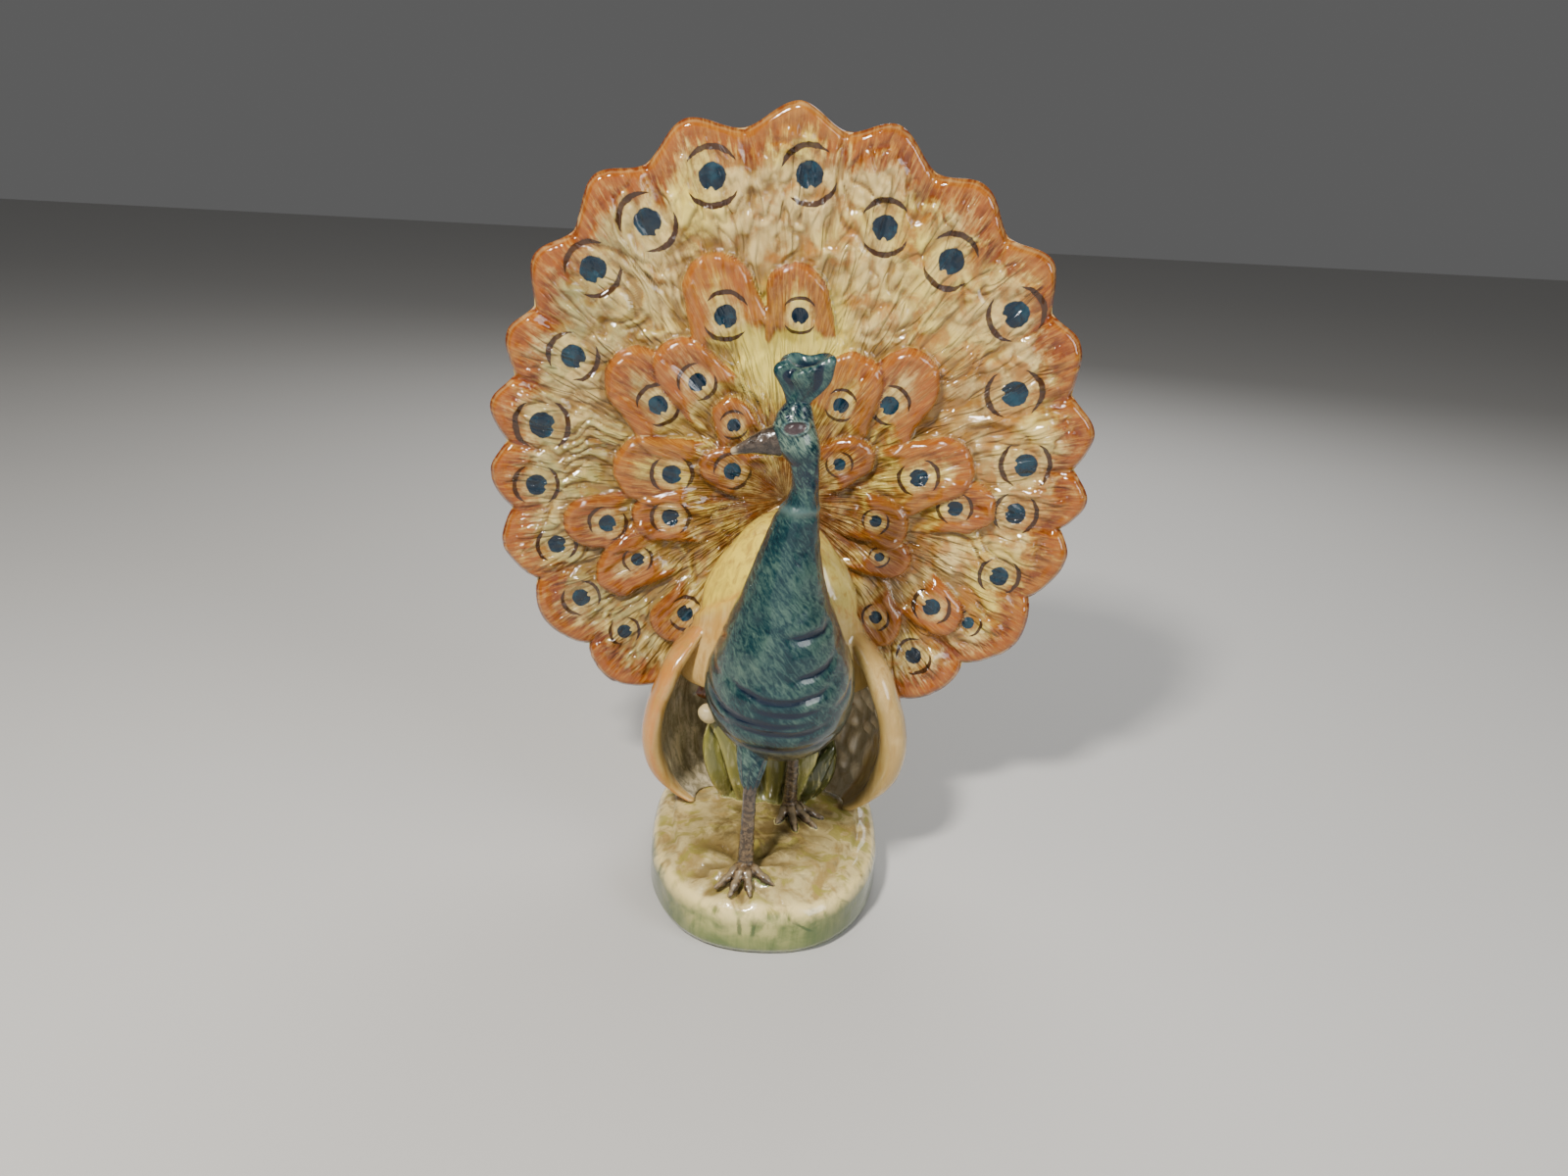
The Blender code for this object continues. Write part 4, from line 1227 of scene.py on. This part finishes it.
class Term:
    """A socket in a material, with arithmetic for single numbers."""

    def __init__(self, tree, socket):
        self.tree = tree
        self.socket = socket

    def node(self, kind, settings=None, values=None, out=0):
        """A node of a kind, with settings first and then values or links by socket name or number."""
        made = self.tree.nodes.new(kind)
        for key, value in (settings or {}).items():
            setattr(made, key, value)
        for key, value in (values or {}).items():
            if isinstance(value, Term):
                self.tree.links.new(value.socket, made.inputs[key])
            elif value is not None:
                made.inputs[key].default_value = value
        return Term(self.tree, made.outputs[out])

    def maths(self, operation, *values, clamp=False):
        settings = {"operation": operation, "use_clamp": clamp}
        return self.node("ShaderNodeMath", settings, dict(enumerate(values)))

    def __add__(self, other):
        return self.maths("ADD", self, other)

    def __radd__(self, other):
        return self.maths("ADD", other, self)

    def __sub__(self, other):
        return self.maths("SUBTRACT", self, other)

    def __rsub__(self, other):
        return self.maths("SUBTRACT", other, self)

    def __mul__(self, other):
        return self.maths("MULTIPLY", self, other)

    def __rmul__(self, other):
        return self.maths("MULTIPLY", other, self)

    def __truediv__(self, other):
        return self.maths("DIVIDE", self, other)

    def __abs__(self):
        return self.maths("ABSOLUTE", self)

    def smooth(self, low, high):
        """0 below low and 1 above high, or the reverse when low is the larger."""
        if low > high:
            return 1 - self.smooth(high, low)
        return self.node("ShaderNodeMapRange", {"interpolation_type": "SMOOTHSTEP"},
                         {"Value": self, "From Min": low, "From Max": high})

    def mix(self, first, second):
        """A colour between two colours by this share, held in 0 to 1."""
        wrapped = [value if isinstance(value, Term) else (*value, 1) for value in (first, second)]
        return self.node("ShaderNodeMix", {"data_type": "RGBA", "clamp_factor": True},
                         {0: self, 6: wrapped[0], 7: wrapped[1]}, out=2)

    def scaled(self, by, shift=(0.0, 0.0, 0.0)):
        """A place times a vector plus a vector."""
        return self.node("ShaderNodeVectorMath", {"operation": "MULTIPLY_ADD"}, {0: self, 1: by, 2: shift})

    def noise(self, scale, detail=3.0, roughness=0.55, distortion=0.0):
        """Noise in 0 to 1 at this place."""
        return self.node("ShaderNodeTexNoise", None, {"Vector": self, "Scale": scale, "Detail": detail,
                                                      "Roughness": roughness, "Distortion": distortion})


class Glaze:
    """A named material with its shader, and the places and attributes that a paint reads."""

    def __init__(self, name, roughness, coat=0.8):
        self.material = bpy.data.materials[name]
        self.material.use_nodes = True
        self.tree = self.material.node_tree
        self.shader = self.tree.nodes["Principled BSDF"]
        self.shader.inputs["Roughness"].default_value = roughness
        self.shader.inputs["IOR"].default_value = 1.5
        self.shader.inputs["Coat Roughness"].default_value = 0.03
        self.shader.inputs["Coat Weight"].default_value = coat
        self.shader.inputs["Specular IOR Level"].default_value = 0.25
        self.start = Term(self.tree, None)
        self.place = self.start.node("ShaderNodeTexCoord", out="Object").scaled((1 / MM,) * 3)
        self.marks = {mark: self.start.node("ShaderNodeAttribute", {"attribute_name": mark}, out="Fac")
                      for mark in ATTRIBUTES}

    def axis(self, letter, place=None):
        """One coordinate of a place, which is the point's own in millimetres unless one is given."""
        return self.start.node("ShaderNodeSeparateXYZ", None, {0: place or self.place}, out=letter)

    def finish(self, colour, relief=None, height=0.3, roughness=None, coat=None):
        """Colour to the shader, with roughness and coat where given, and a relief through a Bump node."""
        self.tree.links.new(colour.socket, self.shader.inputs["Base Color"])
        if roughness is not None:
            self.tree.links.new(roughness.socket, self.shader.inputs["Roughness"])
        if coat is not None:
            self.tree.links.new(coat.socket, self.shader.inputs["Coat Weight"])
        if relief is not None:
            bumped = self.start.node("ShaderNodeBump", None,
                                     {"Height": relief, "Distance": height * MM, "Strength": 1.0})
            self.tree.links.new(bumped.socket, self.shader.inputs["Normal"])


print("operators ready: add, subtract, multiply, divide, absolute, smooth, mix and noise")

# %% [markdown]
# The train's glaze
# Cream clay shows through everywhere. Over it lie a yellow and a grey-green cloud, an olive and
# brown wash that pools in the hollows, burnt orange brushed inwards from the tips of the feathers,
# and the eyes: a dark heart-like pupil, a patchy cream ring, and a brown arc above and below. The
# back of the train is brushed cream, with less gloss than the front.

# %% Colours by name, in linear light
CREAM = (0.68, 0.50, 0.19)
YELLOW = (0.78, 0.61, 0.12)
OLIVE = (0.32, 0.20, 0.045)
BROWN = (0.17, 0.075, 0.012)
GREY_GREEN = (0.30, 0.28, 0.10)
ORANGE = (0.27, 0.058, 0.002)
DEEP_ORANGE = (0.15, 0.023, 0.002)
PALE_RIM = (0.62, 0.44, 0.18)
PUPIL = (0.001, 0.010, 0.022)
ARC = (0.046, 0.018, 0.007)
PALE_RING = (0.70, 0.53, 0.19)
FOLD_BROWN = (0.27, 0.16, 0.035)
RUST = (0.36, 0.13, 0.016)
TAWNY = (0.27, 0.12, 0.022)
LEMON = (0.86, 0.70, 0.12)
THIN_ORANGE = (0.34, 0.15, 0.030)
DRY_ORANGE = (0.48, 0.22, 0.035)
HUB_BROWN = (0.15, 0.038, 0.004)
DULL_RING = (0.52, 0.36, 0.09)
RING_LINE = (0.26, 0.13, 0.03)
PUPIL_BLUE = (0.004, 0.038, 0.062)
BACK_TAN = (0.46, 0.34, 0.12)
BACK_CREAM = (0.66, 0.50, 0.21)


def train_glaze():
    """Paint of the train."""
    glaze = Glaze("train_glaze", 0.13)
    wash, tip, petal, shade = (glaze.marks[m] for m in ("wash", "stroke", "tint", "shade"))
    place = glaze.place
    cloud = place.noise(0.021, 2.0)
    small = place.noise(0.16, 4.0, 0.65)
    grain = place.noise(0.9, 3.0, 0.7)
    x, z = glaze.axis("X") - float(HUB[0]), glaze.axis("Z") - float(HUB[2])
    turn = glaze.start.maths("ARCTAN2", x, z)
    reach = glaze.start.maths("SQRT", x * x + z * z)
    polar = glaze.start.node("ShaderNodeCombineXYZ", None, {0: turn * 46, 1: reach * 0.10, 2: 0.0})
    streak = polar.noise(1.0, 4.0, 0.6, 0.4)
    hairs = polar.scaled((2.6, 1.4, 1.0), (9.0, 4.0, 0.0)).noise(1.0, 4.0, 0.65, 0.5)
    blotch = place.noise(0.085, 3.0, 0.6, 0.8)
    ground = cloud.smooth(0.40, 0.62).mix(CREAM, YELLOW)
    greenish = (x + z * 0.25 + cloud * 50).smooth(8, -42) * reach.smooth(20, 60)
    ground = (greenish * blotch.smooth(0.30, 0.62) * 0.9).mix(ground, GREY_GREEN)
    # Creases lie where a noise crosses its middle: thin lines, which branch as pressed folds do
    crease = polar.scaled((0.20, 0.34, 1.0), (5.0, 2.0, 0.0)).noise(1.0, 1.0, 0.5, 0.9)
    crease = abs(crease - 0.5).smooth(-0.02, 0.13)
    fold = polar.scaled((0.45, 0.60, 1.0), (1.0, 7.0, 0.0)).noise(1.0, 1.0, 0.5, 0.7)
    fold = abs(fold - 0.5).smooth(-0.02, 0.15)
    low = wash + (streak - 0.5) * 0.7 + (small - 0.5) * 0.6 + (hairs - 0.5) * 0.6 + (blotch - 0.5) * 1.1
    ground = (low.smooth(-0.30, 0.65) * 0.48).mix(ground, OLIVE)
    ground = ((1 - fold) * streak.smooth(0.35, 0.6) * 0.45).mix(ground, FOLD_BROWN)
    ground = ((1 - crease) * small.smooth(0.35, 0.60) * 0.75).mix(ground, BROWN)
    ground = (low.smooth(0.30, 1.0) * 0.60).mix(ground, BROWN)
    warm = (blotch + small * 0.5 + x * 0.0012).smooth(0.74, 0.98) * 0.7
    ground = warm.mix(ground, RUST)
    beside_crest = ((x - 60) * (x - 60) + (z - 40) * (z - 40)).smooth(560, 60)
    beside_crest = beside_crest * (blotch + small * 0.5).smooth(0.40, 0.80) * 0.75
    ground = beside_crest.mix(ground, TAWNY)
    above_crest = (x * x * 1.4 + (z - 58) * (z - 58)).smooth(1000, 80) * (0.45 + blotch * 0.7)
    ground = above_crest.mix(ground, LEMON)
    # Orange tips: a ragged inner edge, dark where the brush was full and pale where it was dry
    feathery = tip + (streak - 0.5) * 0.9 + (small - 0.5) * 0.5 + (hairs - 0.5) * 0.7 + (blotch - 0.5) * 0.9
    on_petal = feathery.smooth(-0.55, 0.35) * petal.smooth(0.05, 0.75)
    on_rim = feathery.smooth(0.10, 0.70) * (1 - petal) * tip.smooth(-0.5, -0.1)
    rich = blotch * 0.8 + hairs * 0.5 + shade * 0.15 + wash * 0.35
    orange = rich.smooth(0.50, 0.86).mix(ORANGE, DEEP_ORANGE)
    orange = ((cloud * 0.4 + small * 0.6).smooth(0.50, 0.62) * 0.45).mix(orange, THIN_ORANGE)
    orange = ((hairs * 0.6 + streak * 0.4).smooth(0.54, 0.38) * 0.5).mix(orange, DRY_ORANGE)
    colour = (on_rim * 0.93).mix(ground, orange)
    colour = (on_petal * 0.90).mix(colour, orange)
    colour = (tip.smooth(0.90, 0.99) * (0.6 - wash)).mix(colour, PALE_RIM)
    near_hub = reach.smooth(58, 24) * (small * 0.6 + streak * 0.6 + hairs * 0.3).smooth(0.52, 0.86) * 0.92
    colour = near_hub.mix(colour, HUB_BROWN)
    # Eyes: places come in pupil radii, across the feather and outwards along it
    spot = glaze.start.node("ShaderNodeUVMap", {"uv_map": "feather"}, out="UV")
    wobble = (place.noise(0.35, 2.0) - 0.5) * 0.35
    across, along = glaze.axis("X", spot), glaze.axis("Y", spot)
    away = glaze.start.maths("SQRT", across * across + along * along)
    notch = along.smooth(-0.35, -1.0) * abs(across + 0.15).smooth(0.30, 0.0) * 0.45
    pupil = (away + notch + wobble).smooth(1.10, 0.99)
    around = away + wobble
    ring = around.smooth(2.15, 1.35)
    slant = along / glaze.start.maths("MAXIMUM", away, 0.01)
    arc_width = abs(slant).smooth(0.42, 1.0) * 0.22 + 0.02
    arc_gap = abs(away + wobble * 0.8 - 2.12)
    arc = (arc_gap / arc_width).smooth(1.15, 0.75) * abs(slant).smooth(0.46, 0.58)
    ring_paint = small.smooth(0.35, 0.65).mix(PALE_RING, DULL_RING)
    patchy = (small * 0.6 + streak * 0.6).smooth(0.82, 0.42)
    colour = (ring * (0.30 + petal * 0.35) * patchy).mix(colour, ring_paint)
    inner_line = around.smooth(1.30, 1.55) * around.smooth(1.85, 1.6) * small.smooth(0.45, 0.6)
    colour = (inner_line * 0.30).mix(colour, RING_LINE)
    colour = (arc * (0.78 + small * 0.4)).mix(colour, ARC)
    colour = pupil.mix(colour, small.smooth(0.42, 0.70).mix(PUPIL, PUPIL_BLUE))
    # The back and the rim's edge hold places far from any eye: brushed cream, warmer at the rim
    back = away.smooth(30, 40)
    plain = (blotch * 0.6 + streak * 0.4).smooth(0.35, 0.62).mix(BACK_TAN, BACK_CREAM)
    plain = (reach.smooth(84, 118) * (streak + small).smooth(0.85, 1.15) * 0.7).mix(plain, ORANGE)
    colour = back.mix(colour, plain)
    clay = (crease * 2.2 + fold * 1.5) * (1 - petal * 0.75) * tip.smooth(0.9, 0.5)
    relief = clay * (1 - back) + streak * 0.16 + hairs * 0.12 + grain * 0.06 - pupil * 0.3 - arc * 0.3
    glaze.finish(colour, relief, 0.42, 0.04 + grain * 0.06 + back * 0.35, 0.8 - back * 0.72)


train_glaze()
print("train painted, with", len(bpy.data.materials["train_glaze"].node_tree.nodes), "nodes")

# %% [markdown]
# The other glazes
# The breast is a broken teal with paler green patches and navy in every cut, under a thinner clear
# coat, and painted shade darkens its lower part. The cape and wings are yellow and peach outside, and
# cream with brown strokes inside, with painted shade where the insides meet the mound. Beak, shanks
# and toes are dark brown to tan, with a painted highlight on the toes' tops and painted shade below
# them. The mound's top is cream with brown and green washes, and its side is green and olive with
# pale patches; its rim carries a pale painted highlight. The leaves are yellow-green, dark in the hollows.

# %% Teal, wing, horn, mound and leaf glazes
# Colours in linear light: breast and head, cape and wings, beak and feet, mound, and plants
TEAL = (0.006, 0.034, 0.040)
PALE_TEAL = (0.070, 0.125, 0.098)
NAVY = (0.002, 0.007, 0.022)
DEEP_TEAL = (0.003, 0.018, 0.026)
SAGE = (0.22, 0.27, 0.17)
FACE_GREEN = (0.16, 0.23, 0.17)
BELLY_UMBER = (0.075, 0.065, 0.035)
EYE_DARK = (0.050, 0.034, 0.036)
COLLAR_GREEN = (0.050, 0.085, 0.022)
LID_BLUE = (0.17, 0.27, 0.27)
WING_TAN = (0.44, 0.30, 0.095)
WING_PEACH = (0.54, 0.30, 0.070)
WING_CREAM = (0.66, 0.48, 0.20)
CAPE_PALE = (0.60, 0.48, 0.13)
CAPE_YELLOW = (0.82, 0.62, 0.07)
CAPE_OCHRE = (0.46, 0.33, 0.05)
WING_RUN = (0.36, 0.17, 0.045)
WING_OCHRE = (0.45, 0.27, 0.06)
LIP_ORANGE = (0.52, 0.17, 0.025)
INSIDE_GREY = (0.34, 0.29, 0.17)
INSIDE_CREAM = (0.84, 0.72, 0.46)
KNOB_TAN = (0.62, 0.48, 0.28)
KNOB_CREAM = (0.95, 0.82, 0.56)
INSIDE_WASH_AND_SHADE = (0.15, 0.115, 0.06)
HORN_DARK = (0.022, 0.015, 0.011)
HORN_GREY = (0.080, 0.058, 0.042)
TOE_DARK = (0.045, 0.028, 0.014)
TOE_TAN = (0.20, 0.125, 0.055)
HORN_PALE_AND_TOE_HIGHLIGHT = (0.42, 0.33, 0.20)
HORN_LINE_AND_TOE_SHADE = (0.018, 0.014, 0.012)
MOUND_TAN = (0.38, 0.26, 0.085)
MOUND_CREAM = (0.74, 0.60, 0.27)
MOSS = (0.34, 0.31, 0.05)
MOUND_SHADE = (0.24, 0.19, 0.085)
FURROW_BROWN = (0.15, 0.10, 0.028)
FOOT_BROWN = (0.17, 0.115, 0.036)
FOOT_DARK = (0.075, 0.045, 0.014)
FLANK_GREEN = (0.11, 0.15, 0.042)
FLANK_OLIVE = (0.36, 0.36, 0.12)
FLANK_CREAM = (0.62, 0.51, 0.21)
FLANK_LOW = (0.10, 0.15, 0.042)
FLANK_DARK = (0.060, 0.088, 0.030)
DASH_GREEN = (0.035, 0.075, 0.022)
RIM_HIGHLIGHT_CREAM = (0.88, 0.70, 0.30)
LEAF_DARK = (0.032, 0.042, 0.010)
LEAF_GREEN = (0.30, 0.28, 0.068)
LEAF_PALE = (0.62, 0.55, 0.24)
LEAF_WASH = (0.060, 0.062, 0.016)
BUD_CREAM = (0.62, 0.50, 0.26)
# Short brush dashes on the front of the mound's side: middle across, middle height and lean
SIDE_DASHES = ((-6.7, 11.5, 0.1), (-1.7, 11.5, -0.1), (14.0, 12.5, 1.3))


def teal_glaze():
    """Paint of the breast, the head and the crest."""
    glaze = Glaze("teal_glaze", 0.10, 0.5)
    stroke, wash, tint, shade = (glaze.marks[m] for m in ATTRIBUTES)
    place = glaze.place
    slanted = glaze.start.node("ShaderNodeVectorRotate", {"rotation_type": "Y_AXIS"},
                               {"Vector": place, "Angle": 0.7})
    hatch = slanted.scaled((0.75, 0.35, 0.20), (3.0, 1.0, 2.0)).noise(1.0, 5.0, 0.66, 1.0)
    cloud = place.noise(0.085, 3.0, 0.6, 0.6)
    grain = place.noise(1.1, 3.0, 0.7)
    z = glaze.axis("Z")
    # Painted shade: the teal is darker below a middle band, on the lower breast that faces down, and darker
    # again up the neck
    middle = z.smooth(74, 92) * z.smooth(146, 132)
    broken = hatch * 0.62 + cloud * 0.38 + (grain - 0.5) * 0.14 + middle * 0.07 - 0.085
    broken = broken + z.smooth(166, 174) * 0.05
    base = broken.smooth(0.40, 0.64).mix(TEAL, PALE_TEAL)
    base = broken.smooth(0.46, 0.34).mix(base, DEEP_TEAL)
    base = (broken.smooth(0.60, 0.74) * 0.5).mix(base, SAGE)
    face = (shade * 0.85 * (hatch * 0.7 + cloud * 0.3).smooth(0.44, 0.60)).mix(base, FACE_GREEN)
    crown = z.smooth(184, 189) * z.smooth(193, 189) + z.smooth(176, 169) * z.smooth(160, 166)
    face = (crown * (hatch * 0.6 + grain * 0.4).smooth(0.62, 0.42) * 0.8).mix(face, NAVY)
    above_neck = z.smooth(150, 160)
    umber = above_neck.mix(BELLY_UMBER, EYE_DARK)
    base = (wash * (broken.smooth(0.25, 0.5) + above_neck) * 0.9).mix(face, umber)
    base = (tint * 0.5).mix(base, above_neck.mix(COLLAR_GREEN, LID_BLUE))
    dark = (stroke + (hatch - 0.5) * 0.7).smooth(0.22, 0.72)
    colour = (dark * 0.93).mix(base, NAVY)
    glaze.finish(colour, hatch * 0.7 + grain * 0.2, 0.3, 0.08 + grain * 0.09)


def wing_glaze():
    """Paint of the cape, the rump and the wings, whose insides carry a stroke value of 1."""
    glaze = Glaze("wing_glaze", 0.13)
    stroke, wash, tint, shade = (glaze.marks[m] for m in ATTRIBUTES)
    place = glaze.place
    cloud = place.noise(0.05, 3.0)
    runs = place.scaled((0.35, 0.35, 0.05)).noise(1.0, 4.0, 0.6, 0.6)
    grain = place.noise(0.9, 3.0, 0.7)
    x = glaze.axis("X")
    left = (x + (cloud - 0.5) * 40).smooth(14, -12)
    outside = left.mix(WING_TAN, WING_PEACH)
    outside = ((cloud + runs * 0.4).smooth(0.62, 0.85) * 0.7).mix(outside, WING_CREAM)
    yellow = left.mix(CAPE_PALE, CAPE_YELLOW)
    yellow = ((runs * 0.6 + cloud * 0.4).smooth(0.56, 0.40) * 0.6).mix(yellow, CAPE_OCHRE)
    outside = (tint * (0.75 + runs * 0.3)).mix(outside, yellow)
    outside = (runs.smooth(0.50, 0.30) * 0.5).mix(outside, WING_RUN)
    outside = ((cloud * 0.5 + grain * 0.5).smooth(0.50, 0.66) * 0.35).mix(outside, WING_OCHRE)
    outside = (wash * runs.smooth(0.25, 0.6) * 0.75).mix(outside, LIP_ORANGE)
    inside = (runs + (grain - 0.5) * 0.3).smooth(0.36, 0.66).mix(INSIDE_GREY, INSIDE_CREAM)
    knobs = (runs + grain * 0.3).smooth(0.4, 0.85).mix(KNOB_TAN, KNOB_CREAM)
    inside = shade.smooth(-0.2, 0.2).mix(inside, knobs)
    # Dark brown wash in the feather hollows, and painted shade where the insides meet the mound
    inside = (wash * 0.4).mix(inside, INSIDE_WASH_AND_SHADE)
    colour = stroke.smooth(0.2, 0.7).mix(outside, inside)
    glaze.finish(colour, runs * 0.6 + grain * 0.25, 0.3, 0.10 + grain * 0.10)


def horn_glaze():
    """Paint of the beak, the shanks and the toes."""
    glaze = Glaze("horn_glaze", 0.15)
    wash, shade = glaze.marks["wash"], glaze.marks["shade"]
    mottled = glaze.place.noise(0.55, 4.0, 0.65, 0.5)
    low = glaze.axis("Z").smooth(60, 34)
    base = mottled.smooth(0.35, 0.65).mix(HORN_DARK, HORN_GREY)
    base = (low * 0.85).mix(base, mottled.smooth(0.40, 0.66).mix(TOE_DARK, TOE_TAN))
    # Pale: the beak's tip, and a painted highlight on the toes' tops
    base = shade.smooth(0.1, 0.9).mix(base, HORN_PALE_AND_TOE_HIGHLIGHT)
    # Dark: the beak's shut line and the shanks' scale lines, and painted shade under the toes
    colour = (wash * 0.8).mix(base, HORN_LINE_AND_TOE_SHADE)
    glaze.finish(colour, mottled, 0.3)


def mound_glaze():
    """Paint of the mound: its top by wash and clouds, its side by vertical runs."""
    glaze = Glaze("mound_glaze", 0.16)
    stroke, wash, tint, shade = (glaze.marks[m] for m in ATTRIBUTES)
    place = glaze.place
    cloud = place.noise(0.07, 4.0, 0.6, 0.8)
    blotch = place.scaled((1, 1, 0.4), (40, 3, 9)).noise(0.11, 4.0, 0.6, 1.2)
    grain = place.noise(0.8, 3.0, 0.7)
    runs = place.scaled((0.16, 0.16, 0.022)).noise(1.0, 4.0, 0.6, 0.4)
    top = (cloud * 0.6 + blotch * 0.4).smooth(0.40, 0.56).mix(MOUND_TAN, MOUND_CREAM)
    patch = place.scaled((1, 1.4, 0.4), (7, 31, 2)).noise(0.10, 3.0, 0.6, 0.9)
    top = (patch.smooth(0.50, 0.60) * 0.75).mix(top, MOSS)
    top = (patch.smooth(0.42, 0.34) * 0.55).mix(top, MOUND_SHADE)
    top = ((wash + cloud * 0.5).smooth(0.45, 1.05) * 0.75).mix(top, FURROW_BROWN)
    middle = stroke * (blotch * 0.6 + grain * 0.15 + wash * 0.25).smooth(0.20, 0.46)
    top = (middle * 0.8).mix(top, FOOT_BROWN)
    top = (stroke.smooth(0.75, 1.0) * runs.smooth(0.40, 0.62) * 0.7).mix(top, FOOT_DARK)
    side = (runs * 0.5 + cloud * 0.5).smooth(0.38, 0.60).mix(FLANK_GREEN, FLANK_OLIVE)
    side = (cloud.smooth(0.46, 0.62) * shade * 0.85).mix(side, FLANK_CREAM)
    side = (shade.smooth(0.55, 0.05) * 0.45).mix(side, FLANK_LOW)
    x, z = glaze.axis("X"), glaze.axis("Z")
    side = (abs(x + 3).smooth(14, 38) * 0.85).mix(side, FLANK_DARK)
    front = glaze.axis("Y").smooth(-40, -50)
    for middle_x, middle_z, lean in SIDE_DASHES:
        sideways = abs(x - middle_x + (z - middle_z) * lean + (grain - 0.5) * 1.2)
        dash = sideways.smooth(1.1, 0.4) * abs(z - middle_z).smooth(4.2, 2.6) * front
        side = (dash * 0.75).mix(side, DASH_GREEN)
    colour = tint.smooth(0.05, 0.45).mix(side, top)
    # The turned edge carries a painted highlight: pale cream along the rim
    rim_highlight = shade.smooth(0.62, 0.97) * (1 - tint.smooth(0.35, 1.0))
    rim_highlight = rim_highlight * (blotch * 0.6 + cloud * 0.4).smooth(0.36, 0.56)
    colour = rim_highlight.mix(colour, RIM_HIGHLIGHT_CREAM)
    glaze.finish(colour, cloud * 0.5 + grain * 0.4, 0.4, 0.11 + grain * 0.12)


def leaf_glaze():
    """Paint of the tuft, the blades and the bud: yellow-green, with dark hollows."""
    glaze = Glaze("leaf_glaze", 0.14)
    wash, tint, shade = (glaze.marks[m] for m in ("wash", "tint", "shade"))
    mottled = glaze.place.scaled((0.5, 0.5, 0.12)).noise(1.0, 4.0, 0.6, 0.6)
    light = (shade + (mottled - 0.5) * 1.5).smooth(-0.9, 0.9)
    base = light.mix(LEAF_DARK, LEAF_GREEN)
    base = (mottled.smooth(0.50, 0.70) * 0.7).mix(base, LEAF_PALE)
    base = (wash * 0.65).mix(base, LEAF_WASH)
    colour = tint.mix(base, BUD_CREAM)
    glaze.finish(colour, mottled, 0.4)


for paint_glaze in (teal_glaze, wing_glaze, horn_glaze, mound_glaze, leaf_glaze):
    paint_glaze()
print("glazes:", ", ".join(sorted(m.name for m in bpy.data.materials if m.name.endswith("glaze"))))

# %% [markdown]
# Handing over
# Both skins ride on the figurine's root, and together they replace its one solid in the rendering.

# %% Both skins on the figurine's root, in place of its solid
for made in (train, bird):
    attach(made, "root")
    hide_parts("peacock_figurine")
